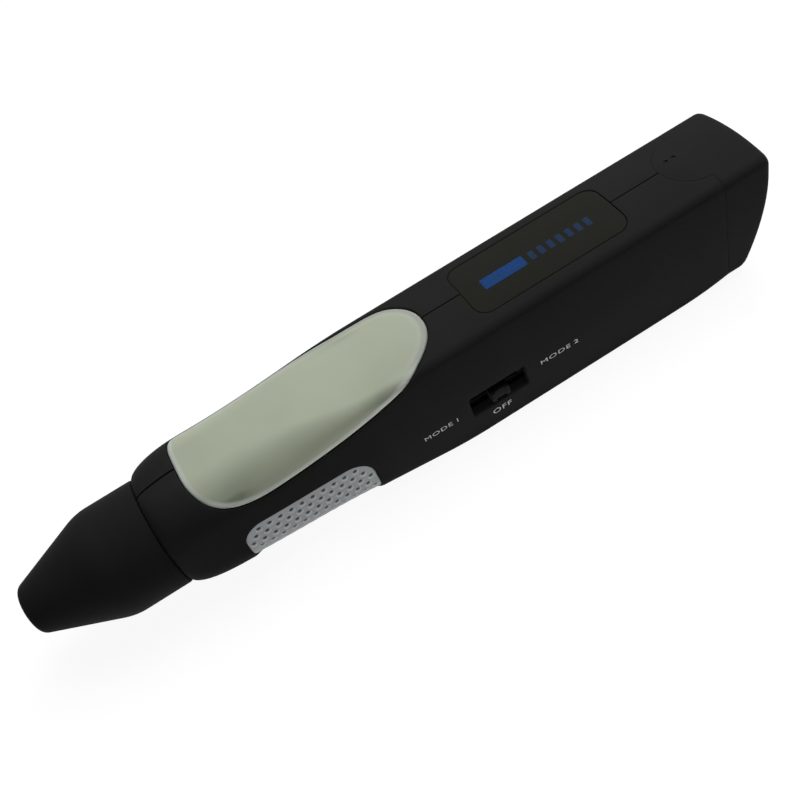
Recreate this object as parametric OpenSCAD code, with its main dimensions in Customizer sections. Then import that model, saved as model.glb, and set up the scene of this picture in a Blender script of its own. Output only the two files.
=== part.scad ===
// Hand-held diamond tester with a sprung probe under a pull-off nose cap.
// The body is two half shells that carry a window, a label plate, two finger pads and a slide switch.
// Units are millimetres. X runs from the nose to the rear, the switch side is -Y, Z is up from the underside.

/* [Body] */
// Length from the front of the nose cap to the rear end
total_length = 197; // [196:0.5:206]
// Width of the rear part
body_width = 25.9; // [25.6:0.1:28]
// Height of the rear part
body_height = 33.6; // [33.4:0.1:36]
// Width at the finger stop behind the cap
grip_width = 28.2; // [27.6:0.1:30]
// Wall of the two half shells
wall = 2.2; // [2:0.1:2.4]
// Radius of the gently crowned top
crown_radius = 52; // [46:1:80]
// Edge radius along the top of the rear part
top_edge_radius = 2.2; // [1.6:0.1:3]
// Edge radius along the underside of the rear part
bottom_edge_radius = 2.6; // [1.8:0.1:3.4]
// Length of the rounded shoulder behind the cap
shoulder_length = 12.95; // [11:0.1:15]

/* [Nose] */
// Height of the nose axis above the underside
nose_axis_height = 18.2; // [18:0.1:18.8]
// Length of the nose cap
cap_length = 34.3; // [33:0.1:36]
// Diameter of the nose cap
cap_diameter = 27.1; // [26.8:0.1:27.6]
// Diameter of the nose cap's taper where it would meet the front
tip_diameter = 11.8; // [11:0.1:13]
// Length of the tapered front of the nose cap
cone_length = 19.7; // [18:0.1:21]
// Wall of the nose cap
cap_wall = 2.3; // [1.8:0.1:2.5]
// Diameter of the probe rod
probe_diameter = 2.4; // [2:0.1:2.6]
// Spring travel of the probe
probe_travel = 1.5; // [0.8:0.1:2]

/* [Window and plate] */
// Length of the indicator window
window_length = 64; // [58:0.5:66]
// Reach of the window down the switch side, measured round the skin from the top seam
window_wrap = 17.95; // [15:0.05:19]
// Reach of the window on the other side
window_far_wrap = 10.9; // [9:0.1:14]
// Thickness of the window
window_thickness = 2; // [1.6:0.1:2.2]
// Length of the label plate
plate_length = 41.2; // [36:0.2:44]
// Width of the label plate
plate_width = 17.8; // [15:0.2:18.6]
// Thickness of the label plate
plate_thickness = 0.8; // [0.6:0.1:1]

/* [Finger pads] */
// Length of each finger pad
pad_length = 33.7; // [28:0.1:35]
// Width of each finger pad, measured round the skin
pad_width = 17.2; // [15:0.1:17.4]
// Corner radius of each finger pad
pad_corner = 6; // [4:0.1:6.8]
// Depth of the pad face below the body skin
pad_depth = 0.5; // [0.4:0.1:0.8]
// Pitch of the pad dimples
dimple_pitch = 2.8; // [2.5:0.02:3.2]
// Diameter of a pad dimple
dimple_diameter = 0.9; // [0.6:0.1:1.1]

/* [Switch] */
// Length of the switch slot
slot_length = 15.5; // [14.5:0.1:16]
// Height of the switch slot
slot_height = 6.4; // [5.6:0.1:6.8]
// Height of the switch above the underside
switch_height = 11.8; // [11.6:0.1:12]
// Length of the switch knob
knob_length = 4.8; // [4.4:0.1:6.2]
// Height of the switch knob
knob_height = 2.7; // [2.6:0.1:3.6]
// Travel of the knob to each side of the middle
knob_travel = 4.5; // [3:0.1:4.5]

/* [Battery and its cap] */
// Free height above and below the battery, together
battery_height_play = 2.7; // [2:0.1:3.5]
// Free width beside the battery, together, which takes the tabs of its cap
battery_width_play = 4; // [3.7:0.1:5]
// Free length between the battery and the parting line of its cap
battery_end_play = 0.8; // [0.4:0.1:1.2]
// Radius of the round tongue on top of the battery cap
tongue_radius = 8.6; // [7.5:0.1:9]
// Thickness of the tongue
tongue_thickness = 1.2; // [0.9:0.1:1.3]
// Radius of the two small dots in the tongue
dot_radius = 0.55; // [0.4:0.05:0.7]

/* [Fits] */
// Radial running clearance of sliding round parts
running_gap = 0.05; // [0.03:0.01:0.09]
// Clearance round let-in pieces
inlay_gap = 0.12; // [0.08:0.02:0.2]
// Gap at the parting faces of the two caps
parting_gap = 0.15; // [0.1:0.05:0.25]

/* [Hidden] */
$fn = 64;

// Stations along the body, measured from the front tip, as shares of the length behind the cap
collar_x = cap_length;
function along(share) = mix(collar_x, total_length, share);
axis_z = nose_axis_height;
collar_radius = cap_diameter / 2 - 0.65;
bottom_blend_x0 = along(0.0443);
bottom_blend_x1 = along(0.4831);
top_blend_x0 = along(0.1026);
top_blend_x1 = along(0.3762);
waist_x0 = along(0.0796);
waist_x1 = along(0.2717);
taper_x = along(0.7333);
rise_x = along(0.8316);
part_x = along(0.9164);
grip_lift = 2.9;
grip_top_radius = 9.75;
grip_bottom_radius = 10.4;
rear_taper = 0.15;
rise_rate = 0.0071;
lean_rate = 0.0122;
lean_z = body_height - 6.25;
rear_edge = 2.7;
rear_foot = 2;
rear_corner = 2.5;
rear_bow = 2.6;
inner_step = 2;

function clamp01(t) = min(1, max(0, t));
function mix(a, b, t) = a + (b - a) * t;
function ease(t) = let(u = clamp01(t)) u * u * (3 - 2 * u);
// A straight ramp with eased ends
function ramp(t) =
  let(u = clamp01(t), e = 0.18, k = 2 * e * (1 - e))
  u < e ? u * u / k : u > 1 - e ? 1 - (1 - u) * (1 - u) / k : (u - e / 2) / (1 - e);

// Outer skin of the body at station x
function shoulder(x) = let(t = clamp01((x - collar_x) / shoulder_length)) sqrt(1 - (1 - t) * (1 - t));
function bottom_blend(x) = ramp((x - bottom_blend_x0) / (bottom_blend_x1 - bottom_blend_x0));
function top_blend(x) = ease((x - top_blend_x0) / (top_blend_x1 - top_blend_x0));
function half_width(x) =
  let(w = mix(grip_width / 2, body_width / 2, ease((x - waist_x0) / (waist_x1 - waist_x0))))
  mix(collar_radius, w, shoulder(x))
  - rear_taper * pow(clamp01((x - taper_x) / (total_length - taper_x)), 1.3);
function top_z(x) = mix(axis_z + collar_radius, body_height, shoulder(x));
function rise(x) = rise_rate * pow(max(0, x - rise_x), 2);
function bottom_z(x) =
  mix(axis_z - collar_radius, mix(grip_lift, 0, bottom_blend(x)), shoulder(x)) + rise(x);
function top_radius(x) =
  min(mix(collar_radius, mix(grip_top_radius, top_edge_radius, top_blend(x)), shoulder(x)),
    half_width(x) - 0.5);
function bottom_radius(x) =
  min(mix(collar_radius, mix(grip_bottom_radius, bottom_edge_radius, bottom_blend(x)), shoulder(x)),
    half_width(x) - 0.5);

// Half section from the top seam round the +Y side to the bottom seam, drawn in by the given amounts
crown_steps = 3;
corner_steps = 6;
function half_section(x, side, top, bottom) =
  let(
    a = half_width(x) - side,
    zt = top_z(x) - top,
    zb = bottom_z(x) + bottom,
    rt = max(top_radius(x) - max(side, top), 0.6),
    rb = max(bottom_radius(x) - max(side, bottom), 0.6),
    c = top_blend(x),
    yc = a - rt,
    drop = c * yc * yc / (2 * crown_radius),
    f0 = atan(c * yc / crown_radius)
  )
  concat(
    [for (i = [0:crown_steps - 1]) let(y = yc * i / crown_steps) [y, zt - c * y * y / (2 * crown_radius)]],
    [for (i = [0:corner_steps])
      let(f = (90 - f0) * (1 - i / corner_steps))
      [yc + rt * (cos(f) - sin(f0)) / (1 - sin(f0)), zt - drop - rt * cos(f0) + rt * sin(f)]],
    [for (i = [0:corner_steps])
      let(f = -90 * i / corner_steps)
      [a - rb + rb * cos(f), zb + rb + rb * sin(f)]],
    [[0, zb]]
  );

// Point on the skin at arc length s from the top seam, as [y, z]
function skin(x, s) =
  let(
    q = abs(s),
    a = half_width(x),
    zt = top_z(x),
    zb = bottom_z(x),
    rt = top_radius(x),
    rb = bottom_radius(x),
    c = top_blend(x),
    yc = a - rt,
    drop = c * yc * yc / (2 * crown_radius),
    f0 = atan(c * yc / crown_radius),
    z0 = zt - drop - rt * cos(f0),
    z1 = zb + rb,
    s1 = yc + rt * (90 - f0) * PI / 180,
    s2 = s1 + z0 - z1,
    s3 = s2 + rb * PI / 2
  )
  q < yc ? [q, zt - c * q * q / (2 * crown_radius)]
  : q < s1 ? let(f = (90 - f0) - (q - yc) / rt * 180 / PI)
    [yc + rt * (cos(f) - sin(f0)) / (1 - sin(f0)), z0 + rt * sin(f)]
  : q < s2 ? [a, z0 - (q - s1)]
  : q < s3 ? let(f = -(q - s2) / rb * 180 / PI) [a - rb + rb * cos(f), z1 + rb * sin(f)]
  : [max(0, a - rb - (q - s3)), zb];
// The same point moved by t towards the nose axis, in space
function pulled(x, s, t) =
  let(p = skin(x, s), v = p - [0, axis_z], q = p - v * t / norm(v))
  [x, (s < 0 ? -1 : 1) * q[0], q[1]];

// Solid between two grids on the skin: stations xs, from arc length lo to hi, from depth t0 to depth t1
module skin_patch(xs, lo, hi, t0, t1, m) {
  n = len(xs);
  k = n * (m + 1);
  grid = function (t) [for (i = [0:n - 1], j = [0:m]) pulled(xs[i], mix(lo[i], hi[i], j / m), t)];
  o = function (i, j) i * (m + 1) + j;
  faces = concat(
    [for (i = [0:n - 2], j = [0:m - 1]) each [
      [o(i, j), o(i, j + 1), o(i + 1, j + 1)],
      [o(i, j), o(i + 1, j + 1), o(i + 1, j)],
      [k + o(i, j), k + o(i + 1, j + 1), k + o(i, j + 1)],
      [k + o(i, j), k + o(i + 1, j), k + o(i + 1, j + 1)]]],
    [for (i = [0:n - 2]) each [
      [o(i, 0), o(i + 1, 0), k + o(i + 1, 0)],
      [o(i, 0), k + o(i + 1, 0), k + o(i, 0)],
      [o(i + 1, m), o(i, m), k + o(i, m)],
      [o(i + 1, m), k + o(i, m), k + o(i + 1, m)]]],
    [for (j = [0:m - 1]) each [
      [o(0, j + 1), o(0, j), k + o(0, j)],
      [o(0, j + 1), k + o(0, j), k + o(0, j + 1)],
      [o(n - 1, j), o(n - 1, j + 1), k + o(n - 1, j + 1)],
      [o(n - 1, j), k + o(n - 1, j + 1), k + o(n - 1, j)]]]
  );
  polyhedron(concat(grid(t0), grid(t1)), faces, convexity = 6);
}

// Side faces between rings of equal length, as triangles
function ring_faces(n, k) =
  [for (i = [0:n - 2], j = [0:k - 1]) let(a = i * k + j, b = i * k + (j + 1) % k) each
    [[a, b, b + k], [a, b + k, a + k]]];

// Indicator window outline on the skin
window_x0 = along(0.0658);
window_x1 = window_x0 + window_length;
window_xm = mix(window_x0, window_x1, 0.42);
function window_stations(grow, n) = concat(
  [for (i = [0:n]) window_xm - (window_xm - window_x0 + grow) * cos(3 + 87 * i / n)],
  [for (i = [1:n]) window_xm + (window_x1 + grow - window_xm) * cos(3 + 87 * (1 - i / n))]);
function window_half(x, grow) =
  let(
    front = x < window_xm,
    n = front ? 3 : 2.1,
    reach = (front ? window_xm - window_x0 : window_x1 - window_xm) + grow,
    u = abs(x - window_xm) / reach
  )
  (window_wrap + grow) * pow(max(0, 1 - pow(u, n)), 1 / n);
// The far edge follows the same outline up to a straight run near the top of the body
function window_far(x, grow) =
  let(h = max(window_half(x, grow), 0.01), w = window_far_wrap + grow)
  pow(pow(h, -10) + pow(w, -10), -0.1);
module window_block(grow, t0, t1, n, m) {
  xs = window_stations(grow, n);
  near = [for (x = xs) window_half(x, grow)];
  far = [for (x = xs) window_far(x, grow)];
  skin_patch(xs, -near, far, t0, t1, m);
}

// Finger pad outline on the skin: a long pad with round corners, sloping down a little to the rear
pad_xm = along(0.1948);
pad_s = 34.6;
pad_slope = 0.1;
pad_thickness = 1.2;
function pad_half(x, grow) =
  let(r = pad_corner + grow, e = max(0, abs(x - pad_xm) - pad_length / 2 + pad_corner))
  pad_width / 2 - pad_corner + sqrt(max(0, r * r - e * e));
function pad_stations(grow) =
  let(r = pad_corner + grow, c = pad_length / 2 - pad_corner)
  concat(
    [for (i = [0:5]) pad_xm - c - r * cos(8 + 82 * i / 5)],
    [for (i = [1:4]) pad_xm - c + 2 * c * i / 5],
    [for (i = [0:5]) pad_xm + c + r * cos(8 + 82 * (1 - i / 5))]);
module pad_block(grow, t0, t1) {
  xs = pad_stations(grow);
  mid = [for (x = xs) pad_s + pad_slope * (x - pad_xm)];
  half = [for (x = xs) pad_half(x, grow)];
  skin_patch(xs, mid - half, mid + half, t0, t1, 6);
}
// Staggered dimples, pointing at the nose axis
dimple_row = dimple_pitch * 0.74;
dimple_rows = 3;
dimple_columns = 7;
module pad_dimples() {
  for (r = [-dimple_rows:dimple_rows], c = [-dimple_columns:dimple_columns]) {
    x = pad_xm + dimple_pitch * (c + (abs(r) % 2) / 2);
    s = pad_s + pad_slope * (x - pad_xm) + r * dimple_row;
    inside = pad_half(x, -dimple_diameter * 0.9) > abs(r * dimple_row);
    if (inside && abs(x - pad_xm) < pad_length / 2 - dimple_diameter) {
      p = pulled(x, s, pad_depth + 0.3);
      v = [p[1], p[2] - axis_z];
      translate(p)
        rotate([atan2(v[1], v[0]), 0, 0])
        rotate([-90, 0, 0])
        cylinder(d1 = dimple_diameter * 0.3, d2 = dimple_diameter * 1.9, h = 0.8);
    }
  }
}

// Stations of the body loft: close together where the shape changes
body_stations = concat(
  [for (i = [0:6]) collar_x + shoulder_length * (1 - cos(90 * i / 6))],
  [for (i = [1:17]) mix(collar_x + shoulder_length, along(0.504), i / 17)],
  [for (i = [1:4]) mix(along(0.504), rise_x, i / 4)],
  [for (i = [1:4]) mix(rise_x, part_x, i / 4)]);
// The wall steps inwards where the window and the pads are let in
function zone(x, x0, x1) = ease((x - x0) / 5) * (1 - ease((x - x1) / 6));
function inner_side(x) = wall + inner_step * zone(x, collar_x + 6, window_x1 - 9);
function inner_top(x) = wall + inner_step * zone(x, collar_x + 6, window_x1 + 2);
function inner_bottom(x) = wall + inner_step / 2 * zone(x, collar_x + 6, window_x1 - 9);
front_wall = 3;
section_points = crown_steps + 2 * (corner_steps + 1) + 1;
spigot_radius = cap_diameter / 2 - cap_wall - 0.25;
function inner_loop(x) =
  x <= collar_x + front_wall
    ? [for (i = [0:section_points - 1]) let(f = 90 - 180 * i / (section_points - 1))
      [(spigot_radius - 1.4) * cos(f), axis_z + (spigot_radius - 1.4) * sin(f)]]
    : half_section(x, inner_side(x), inner_top(x), inner_bottom(x));

// Half shell on the +Y side, open at the rear
module half_shell() {
  n = section_points;
  k = 2 * n;
  m = len(body_stations);
  points = [for (x = body_stations)
    let(a = half_section(x, 0, 0, 0), b = inner_loop(x)) each concat(
      [for (i = [0:n - 1]) [x, a[i][0], a[i][1]]],
      [for (i = [n - 1:-1:0]) [x, b[i][0], b[i][1]]])];
  last = (m - 1) * k;
  ends = [for (i = [0:n - 2]) each [
    [i + 1, i, k - 1 - i],
    [i + 1, k - 1 - i, k - 2 - i],
    [last + i, last + i + 1, last + k - 1 - i],
    [last + i + 1, last + k - 2 - i, last + k - 1 - i]]];
  polyhedron(points, concat(ring_faces(m, k), ends), convexity = 8);
}
// Solid half of the body, drawn in a little, that trims what stands on the inside of a shell
module half_core(inset) {
  n = section_points;
  stations = [for (i = [0:2:len(body_stations) - 1]) body_stations[i]];
  m = len(stations);
  points = [for (x = stations) each [for (p = half_section(x, inset, inset, inset)) [x, p[0], p[1]]]];
  last = (m - 1) * n;
  ends = [for (i = [1:n - 2]) each [[0, i + 1, i], [last, last + i, last + i + 1]]];
  polyhedron(points, concat(ring_faces(m, n), ends), convexity = 4);
}

// Things that several nodes share
board_bottom = switch_height + 2.8;
board_thickness = 1.6;
board_top = board_bottom + board_thickness;
board_half = body_width / 2 - wall - inner_step - 0.25;
board_x0 = along(0.1069);
// The room holds a standard 9 V block at the nominal sizes
battery_x0 = along(0.6134);
battery_x1 = part_x - battery_end_play;
battery_size = [battery_x1 - battery_x0, body_width - 2 * wall - battery_width_play,
  body_height - 2 * wall - battery_height_play];
battery_z = mix(rise(battery_x1) + wall, body_height - wall - 0.7, 0.5);
terminal_pitch = 12.7;
terminal_height = 3;
terminal_radii = [2.9, 3.9];
snap_depth = 4.6;
snap_width = 12.4;
snap_height = battery_size[2] - 0.9;
snap_x0 = battery_x0 - 0.1 - snap_depth;
board_x1 = snap_x0 - 1;
slot_x = along(0.5101);
plate_x0 = along(0.5261);
screw_spots = [[along(0.0645), 8.2], [along(0.4266), 6.6], [along(0.5482), body_height - 6.8]];
screw_radius = 1.1;
screw_head_radius = 2.1;
screw_head_height = 1.5;
screw_seat = 4.5;
screw_end = 7;
boss_radius = 3.3;
dot_spots = [[part_x - 5.15, 1.8], [part_x - 3, 1.8]];

module placed() {
  translate([-total_length / 2, 0, 0]) children();
}
module along_axis() {
  translate([0, 0, axis_z]) rotate([0, 90, 0]) children();
}
module rounded_box(size, r) {
  linear_extrude(size[2]) rounded_rectangle(size[0], size[1], r);
}
module rounded_rectangle(l, w, r) {
  square([l - 2 * r, w], center = true);
  square([l, w - 2 * r], center = true);
  for (x = [-1, 1], y = [-1, 1]) translate([x * (l / 2 - r), y * (w / 2 - r)]) circle(r);
}
// Outline of the label plate, cut to the crown of the top
plate_corner = 3.5;
module plate_block(grow, t0, t1) {
  intersection() {
    translate([plate_x0 + plate_length / 2, 0, body_height - 6])
      rounded_box([plate_length + 2 * grow, plate_width + 2 * grow, 10], plate_corner + grow);
    difference() {
      crown_bar(-t0);
      crown_bar(-t1);
    }
  }
}
module crown_bar(grow) {
  translate([plate_x0 - 5, 0, body_height - crown_radius])
    rotate([0, 90, 0])
    cylinder(r = crown_radius + grow, h = total_length - plate_x0, $fn = 96);
}
// Round tongue of the battery cap, which lies in the top of the two half shells
module tongue_block(grow, t0, t1) {
  intersection() {
    translate([part_x, 0, body_height - 6])
      linear_extrude(10) {
        circle(tongue_radius + grow, $fn = 96);
        translate([0, -tongue_radius - grow]) square([wall, 2 * (tongue_radius + grow)]);
      }
    translate([0, -body_width, 0]) cube([part_x + wall, 2 * body_width, body_height + 5]);
    difference() {
      crown_bar(-t0);
      crown_bar(-t1);
    }
  }
}

// What stands on the inside of a half shell on the +Y side
module inner_posts() {
  for (p = screw_spots)
    translate([p[0], 0, p[1]]) rotate([-90, 0, 0]) cylinder(r = boss_radius, h = body_width);
  for (x = [along(0.1807), along(0.3651)])
    translate([x - 2, board_half - 1.2, board_bottom - 1.4]) cube([4, body_width, 1.4]);
  for (x = [along(0.6503), along(0.8224)])
    translate([x, battery_size[1] / 2 + 0.1, 6]) cube([1.5, body_width, body_height - 12]);
}
// Half shell on the +Y side with everything both halves share
module common_half() {
  difference() {
    union() {
      half_shell();
      intersection() {
        half_core(0.9);
        inner_posts();
      }
    }
    translate([collar_x - 1, 0, 0]) along_axis()
      cylinder(r = spigot_radius + running_gap, h = front_wall + 1.4);
    pad_block(inlay_gap, -1.5, pad_depth + pad_thickness + 0.05);
    plate_block(inlay_gap, -2, plate_thickness + 0.05);
    tongue_block(parting_gap, -2, tongue_thickness + parting_gap);
  }
}

// Seat of the window, and the opening that its light comes through
module window_seat() {
  window_block(inlay_gap, -1.5, window_thickness + 0.05, 9, 10);
  window_block(-1.4, -1, inner_step + wall + 3, 6, 8);
}

module housing_left() {
  color("#2a2b2a")
    difference() {
      common_half();
      window_seat();
      for (p = screw_spots) {
        translate([p[0], screw_seat, p[1]]) rotate([-90, 0, 0])
          cylinder(r = screw_head_radius + 0.25, h = body_width);
        translate([p[0], -1, p[1]]) rotate([-90, 0, 0])
          cylinder(r = screw_radius + 0.15, h = body_width);
      }
    }
}
module housing_right() {
  color("#2a2b2a")
    difference() {
      mirror([0, 1, 0]) common_half();
      window_seat();
      for (p = screw_spots)
        translate([p[0], 1, p[1]]) rotate([90, 0, 0])
          cylinder(r = screw_radius + 0.02, h = screw_end + 1.5);
      translate([slot_x - slot_length / 2, -body_width, switch_height - slot_height / 2])
        cube([slot_length, body_width - 8, slot_height]);
    }
}
module window() {
  color("#a3ac98") window_block(0, 0, window_thickness, 10, 22);
}
module label_plate() {
  color("#25241e") plate_block(0, 0, plate_thickness);
}
module grip_pad() {
  difference() {
    pad_block(0, pad_depth, pad_depth + pad_thickness);
    pad_dimples();
  }
}
module grip_pad_left() {
  color("#9699a0") grip_pad();
}
module grip_pad_right() {
  color("#9699a0") mirror([0, 1, 0]) grip_pad();
}

// Nose: all round parts are turned about the nose axis
holder_front = 11;
holder_front_radius = 6.3;
flange_x = collar_x + front_wall + 1;
flange_thickness = 2;
chamber_x = flange_x - 11.3;
chamber_radius = 2.2;
rod_radius = probe_diameter / 2;
lamp_radius = 1.5;
lamp_offset = 4.2;
module turned(points) {
  along_axis() rotate_extrude($fn = 96) polygon(points);
}
module nose_holder() {
  color("#1c1c1d")
    difference() {
      turned([[0, holder_front], [holder_front_radius, holder_front],
        [spigot_radius - 0.8, cone_length + 3], [spigot_radius, cone_length + 4],
        [spigot_radius, flange_x], [spigot_radius + 0.3, flange_x],
        [spigot_radius + 0.3, flange_x + flange_thickness], [0, flange_x + flange_thickness]]);
      along_axis() translate([0, 0, holder_front - 1])
        cylinder(r = rod_radius + running_gap, h = flange_x);
      along_axis() translate([0, 0, chamber_x]) cylinder(r = chamber_radius, h = flange_x);
      along_axis() translate([-lamp_offset, 0, holder_front - 1])
        cylinder(r = lamp_radius + 0.1, h = flange_x);
    }
}
cap_slope = (cap_diameter - tip_diameter) / 2 / cone_length;
cap_rear = collar_x - parting_gap;
tip_round = 2.2;
corner_blend = 2.7;
cap_bore = spigot_radius + running_gap;
cap_skin = cap_wall * sqrt(1 + cap_slope * cap_slope);
module nose_cap() {
  tip_r = tip_diameter / 2;
  taper = atan(cap_slope);
  flat_r = tip_r - tip_round * (1 / cos(taper) - tan(taper));
  outer = concat(
    [[0, 0]],
    [for (i = [0:6]) let(f = (90 - taper) * i / 6) [flat_r + tip_round * sin(f), tip_round * (1 - cos(f))]],
    [for (i = [0:6])
      let(t = i / 6, h0 = cone_length - corner_blend, h2 = cone_length + corner_blend)
      [mix(mix(tip_r + cap_slope * h0, cap_diameter / 2, t), cap_diameter / 2, t),
        mix(mix(h0, cone_length, t), mix(cone_length, h2, t), t)]],
    [[cap_diameter / 2, cap_rear]]);
  floor_x = cap_wall;
  floor_r = tip_r + cap_slope * floor_x - cap_skin;
  bore_x = (cap_bore + cap_skin - tip_r) / cap_slope;
  inner = [[cap_bore, cap_rear], [cap_bore, bore_x], [floor_r, floor_x], [0, floor_x]];
  color("#262727") turned(concat(outer, inner));
}
probe_end = holder_front - 3.8;
module probe_tip() {
  color("#c8c2b0")
    turned([[0, probe_end], [0.3, probe_end + 0.15], [0.6, probe_end + 1.6], [0.6, holder_front + 0.6],
      [rod_radius, holder_front + 1.6], [rod_radius, chamber_x + 0.1],
      [chamber_radius - 0.3, chamber_x + 0.1], [chamber_radius - 0.3, chamber_x + 1.2],
      [0.8, chamber_x + 1.2], [0.8, chamber_x + 3], [0, chamber_x + 3]]);
}
spring_x0 = chamber_x + 1.25;
spring_x1 = flange_x + 0.35;
spring_turns = 7;
spring_wire = 0.28;
spring_mean = 1.45;
module probe_spring() {
  color("#b4b6b8") {
    for (i = [0:spring_turns])
      along_axis() translate([0, 0, mix(spring_x0 + spring_wire, spring_x1 - spring_wire, i / spring_turns)])
        rotate_extrude($fn = 48) translate([spring_mean, 0]) circle(spring_wire, $fn = 24);
    along_axis() translate([0, spring_mean, spring_x0 + spring_wire])
      cylinder(r = spring_wire * 0.8, h = spring_x1 - spring_x0 - 2 * spring_wire, $fn = 24);
  }
}
contact_end = flange_x + flange_thickness + 2.4;
module probe_contact() {
  color("#c9a860")
    turned([[0, flange_x + 0.4], [chamber_radius - 0.05, flange_x + 0.4],
      [chamber_radius - 0.05, flange_x + flange_thickness], [0.5, flange_x + flange_thickness],
      [0.5, contact_end], [0, contact_end]]);
}
// Wire from a point on one side of the board edge: along X, then down to the board
module board_wire(x0, x1, y, z, r) {
  lo = min(x0, x1);
  translate([lo, y, z]) rotate([0, 90, 0]) cylinder(r = r, h = abs(x1 - x0), $fn = 24);
  translate([x1, y, z]) sphere(r, $fn = 24);
  translate([x1, y, board_top]) cylinder(r = r, h = z - board_top, $fn = 24);
}
module probe_lead() {
  color("#3a6fb0") board_wire(contact_end + 0.02, board_x0 + 2.5, 0, axis_z, 0.45);
}
lamp_x = holder_front + 0.6;
module uv_lamp() {
  color("#8d86c8")
    translate([lamp_x, 0, axis_z + lamp_offset]) {
      rotate([0, 90, 0]) cylinder(r = lamp_radius, h = 4);
      sphere(lamp_radius);
    }
}
module uv_leads() {
  color("#b4b6b8")
    for (y = [-0.7, 0.7]) board_wire(lamp_x + 4.02, board_x0 + 2.5 + y, y * 1.2, axis_z + lamp_offset, 0.25);
}

// Electronics
module circuit_board() {
  color("#2c6b42")
    translate([board_x0, -board_half, board_bottom])
    cube([board_x1 - board_x0, 2 * board_half, board_thickness]);
}
reflector_x0 = along(0.1395);
reflector_length = along(0.4100) - reflector_x0;
reflector_half = board_half - 1.3;
reflector_height = body_height - board_top - wall - inner_step - 2.2;
module reflector() {
  color("#e9e9e4")
    difference() {
      translate([reflector_x0, -reflector_half, board_top])
        cube([reflector_length, 2 * reflector_half, reflector_height]);
      translate([reflector_x0 + 1, 1 - reflector_half, board_top - 1])
        cube([reflector_length - 2, 2 * reflector_half - 2, reflector_height + 2]);
    }
}
led_count = 6;
led_radius = 1.5;
led_height = 3.2;
module indicator_leds() {
  color("#6fae5f")
    for (i = [0:led_count - 1])
      translate([reflector_x0 + reflector_length * (i + 0.5) / led_count, 0, board_top]) {
        cylinder(r = led_radius, h = led_height, $fn = 32);
        translate([0, 0, led_height]) sphere(led_radius, $fn = 32);
        cylinder(r = led_radius + 0.4, h = led_height / 4, $fn = 32);
      }
}
chip_x = along(0.2667);
chip_size = [10, 6, 1.9];
leg_pitch = 1.27;
leg_size = [0.5, 1.4, 1.2];
module controller_chip() {
  color("#222326") {
    translate([chip_x, -chip_size[1] / 2, board_bottom - 0.3 - chip_size[2]]) cube(chip_size);
    for (i = [0:6], s = [-1, 1])
      translate([chip_x + 0.9 + leg_pitch * i, s * (chip_size[1] + 1) / 2, board_bottom - leg_size[2] / 2])
        cube(leg_size, center = true);
  }
}
buzzer_x = along(0.4794);
buzzer_radius = 6;
buzzer_height = 6.6;
sound_hole_radius = 1;
module buzzer() {
  color("#18181a")
    difference() {
      translate([buzzer_x, 0, board_top]) cylinder(r = buzzer_radius, h = buzzer_height);
      translate([buzzer_x, 0, board_top + buzzer_height / 2])
        cylinder(r = sound_hole_radius, h = buzzer_height);
    }
}
switch_face = body_width / 2 - wall - 1.15;
switch_depth = 5.8;
switch_length = slot_length + 2.5;
stem_length = 3.2;
stem_height = 2.2;
stem_reach = 2.8;
module switch_body() {
  opening = stem_length + 2 * knob_travel + 1.2;
  color("#8e9092")
    difference() {
      translate([slot_x - switch_length / 2, -switch_face, board_bottom - 6])
        cube([switch_length, switch_depth, 6]);
      translate([slot_x - opening / 2, -switch_face - 1, switch_height - stem_height / 2 - 0.4])
        cube([opening, 1 + stem_reach + 0.6, stem_height + 0.8]);
    }
}
knob_out = 0.8;
knob_groove = 0.35;
module switch_knob() {
  face = body_width / 2 + knob_out;
  root = switch_face + 0.5;
  color("#343536")
    difference() {
      union() {
        translate([slot_x - knob_length / 2, -face, switch_height - knob_height / 2])
          cube([knob_length, face - root, knob_height]);
        translate([slot_x - stem_length / 2, -root - 0.5, switch_height - stem_height / 2])
          cube([stem_length, root + 0.5 - switch_face + stem_reach, stem_height]);
      }
      translate([slot_x - knob_length / 2 + 0.9, -face - 1, switch_height - knob_height / 2 - 1])
        cube([knob_length - 1.8, 1 + knob_groove, knob_height + 2]);
    }
}

// Power
module battery() {
  color("#30383d") {
    translate([battery_x0, 0, battery_z]) rotate([0, 90, 0])
      rounded_box([battery_size[2], battery_size[1], battery_size[0]], 2);
    for (i = [0, 1])
      translate([battery_x0 - terminal_height, 0, battery_z + (i - 0.5) * terminal_pitch])
        rotate([0, 90, 0])
        cylinder(r = terminal_radii[i], h = terminal_height + 1);
  }
}
module battery_snap() {
  color("#1b1b1c")
    difference() {
      translate([snap_x0, -snap_width / 2, battery_z - snap_height / 2])
        cube([snap_depth, snap_width, snap_height]);
      for (i = [0, 1])
        translate([battery_x0 - terminal_height - 0.2, 0, battery_z + (i - 0.5) * terminal_pitch])
          rotate([0, 90, 0])
          cylinder(r = terminal_radii[i] + 0.15, h = terminal_height + 2);
    }
}
module battery_leads() {
  color("#a33a30")
    for (y = [-3, 3]) board_wire(snap_x0 - 0.02, board_x1 - 2, y, board_top + 3.5, 0.6);
}
cup_step = 1.6;
tab_thickness = 1.3;
tab_length = 6.5;
tab_height = 14;
module battery_cap() {
  color("#2a2b2a") {
    rear_cup();
    difference() {
      tongue_block(0, 0, tongue_thickness);
      for (p = dot_spots) translate([p[0], p[1], body_height - 0.5]) cylinder(r = dot_radius, h = 2);
    }
    tab_y = half_width(part_x) - wall - 0.15 - tab_thickness / 2;
    for (s = [-1, 1])
      translate([part_x - tab_length, s * tab_y, axis_z - 1.5])
        translate([0, -tab_thickness / 2, -tab_height / 2])
        cube([tab_length + 3, tab_thickness, tab_height]);
  }
}
function rear_x(z) = total_length - lean_rate * pow(max(0, lean_z - z), 2);
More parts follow.
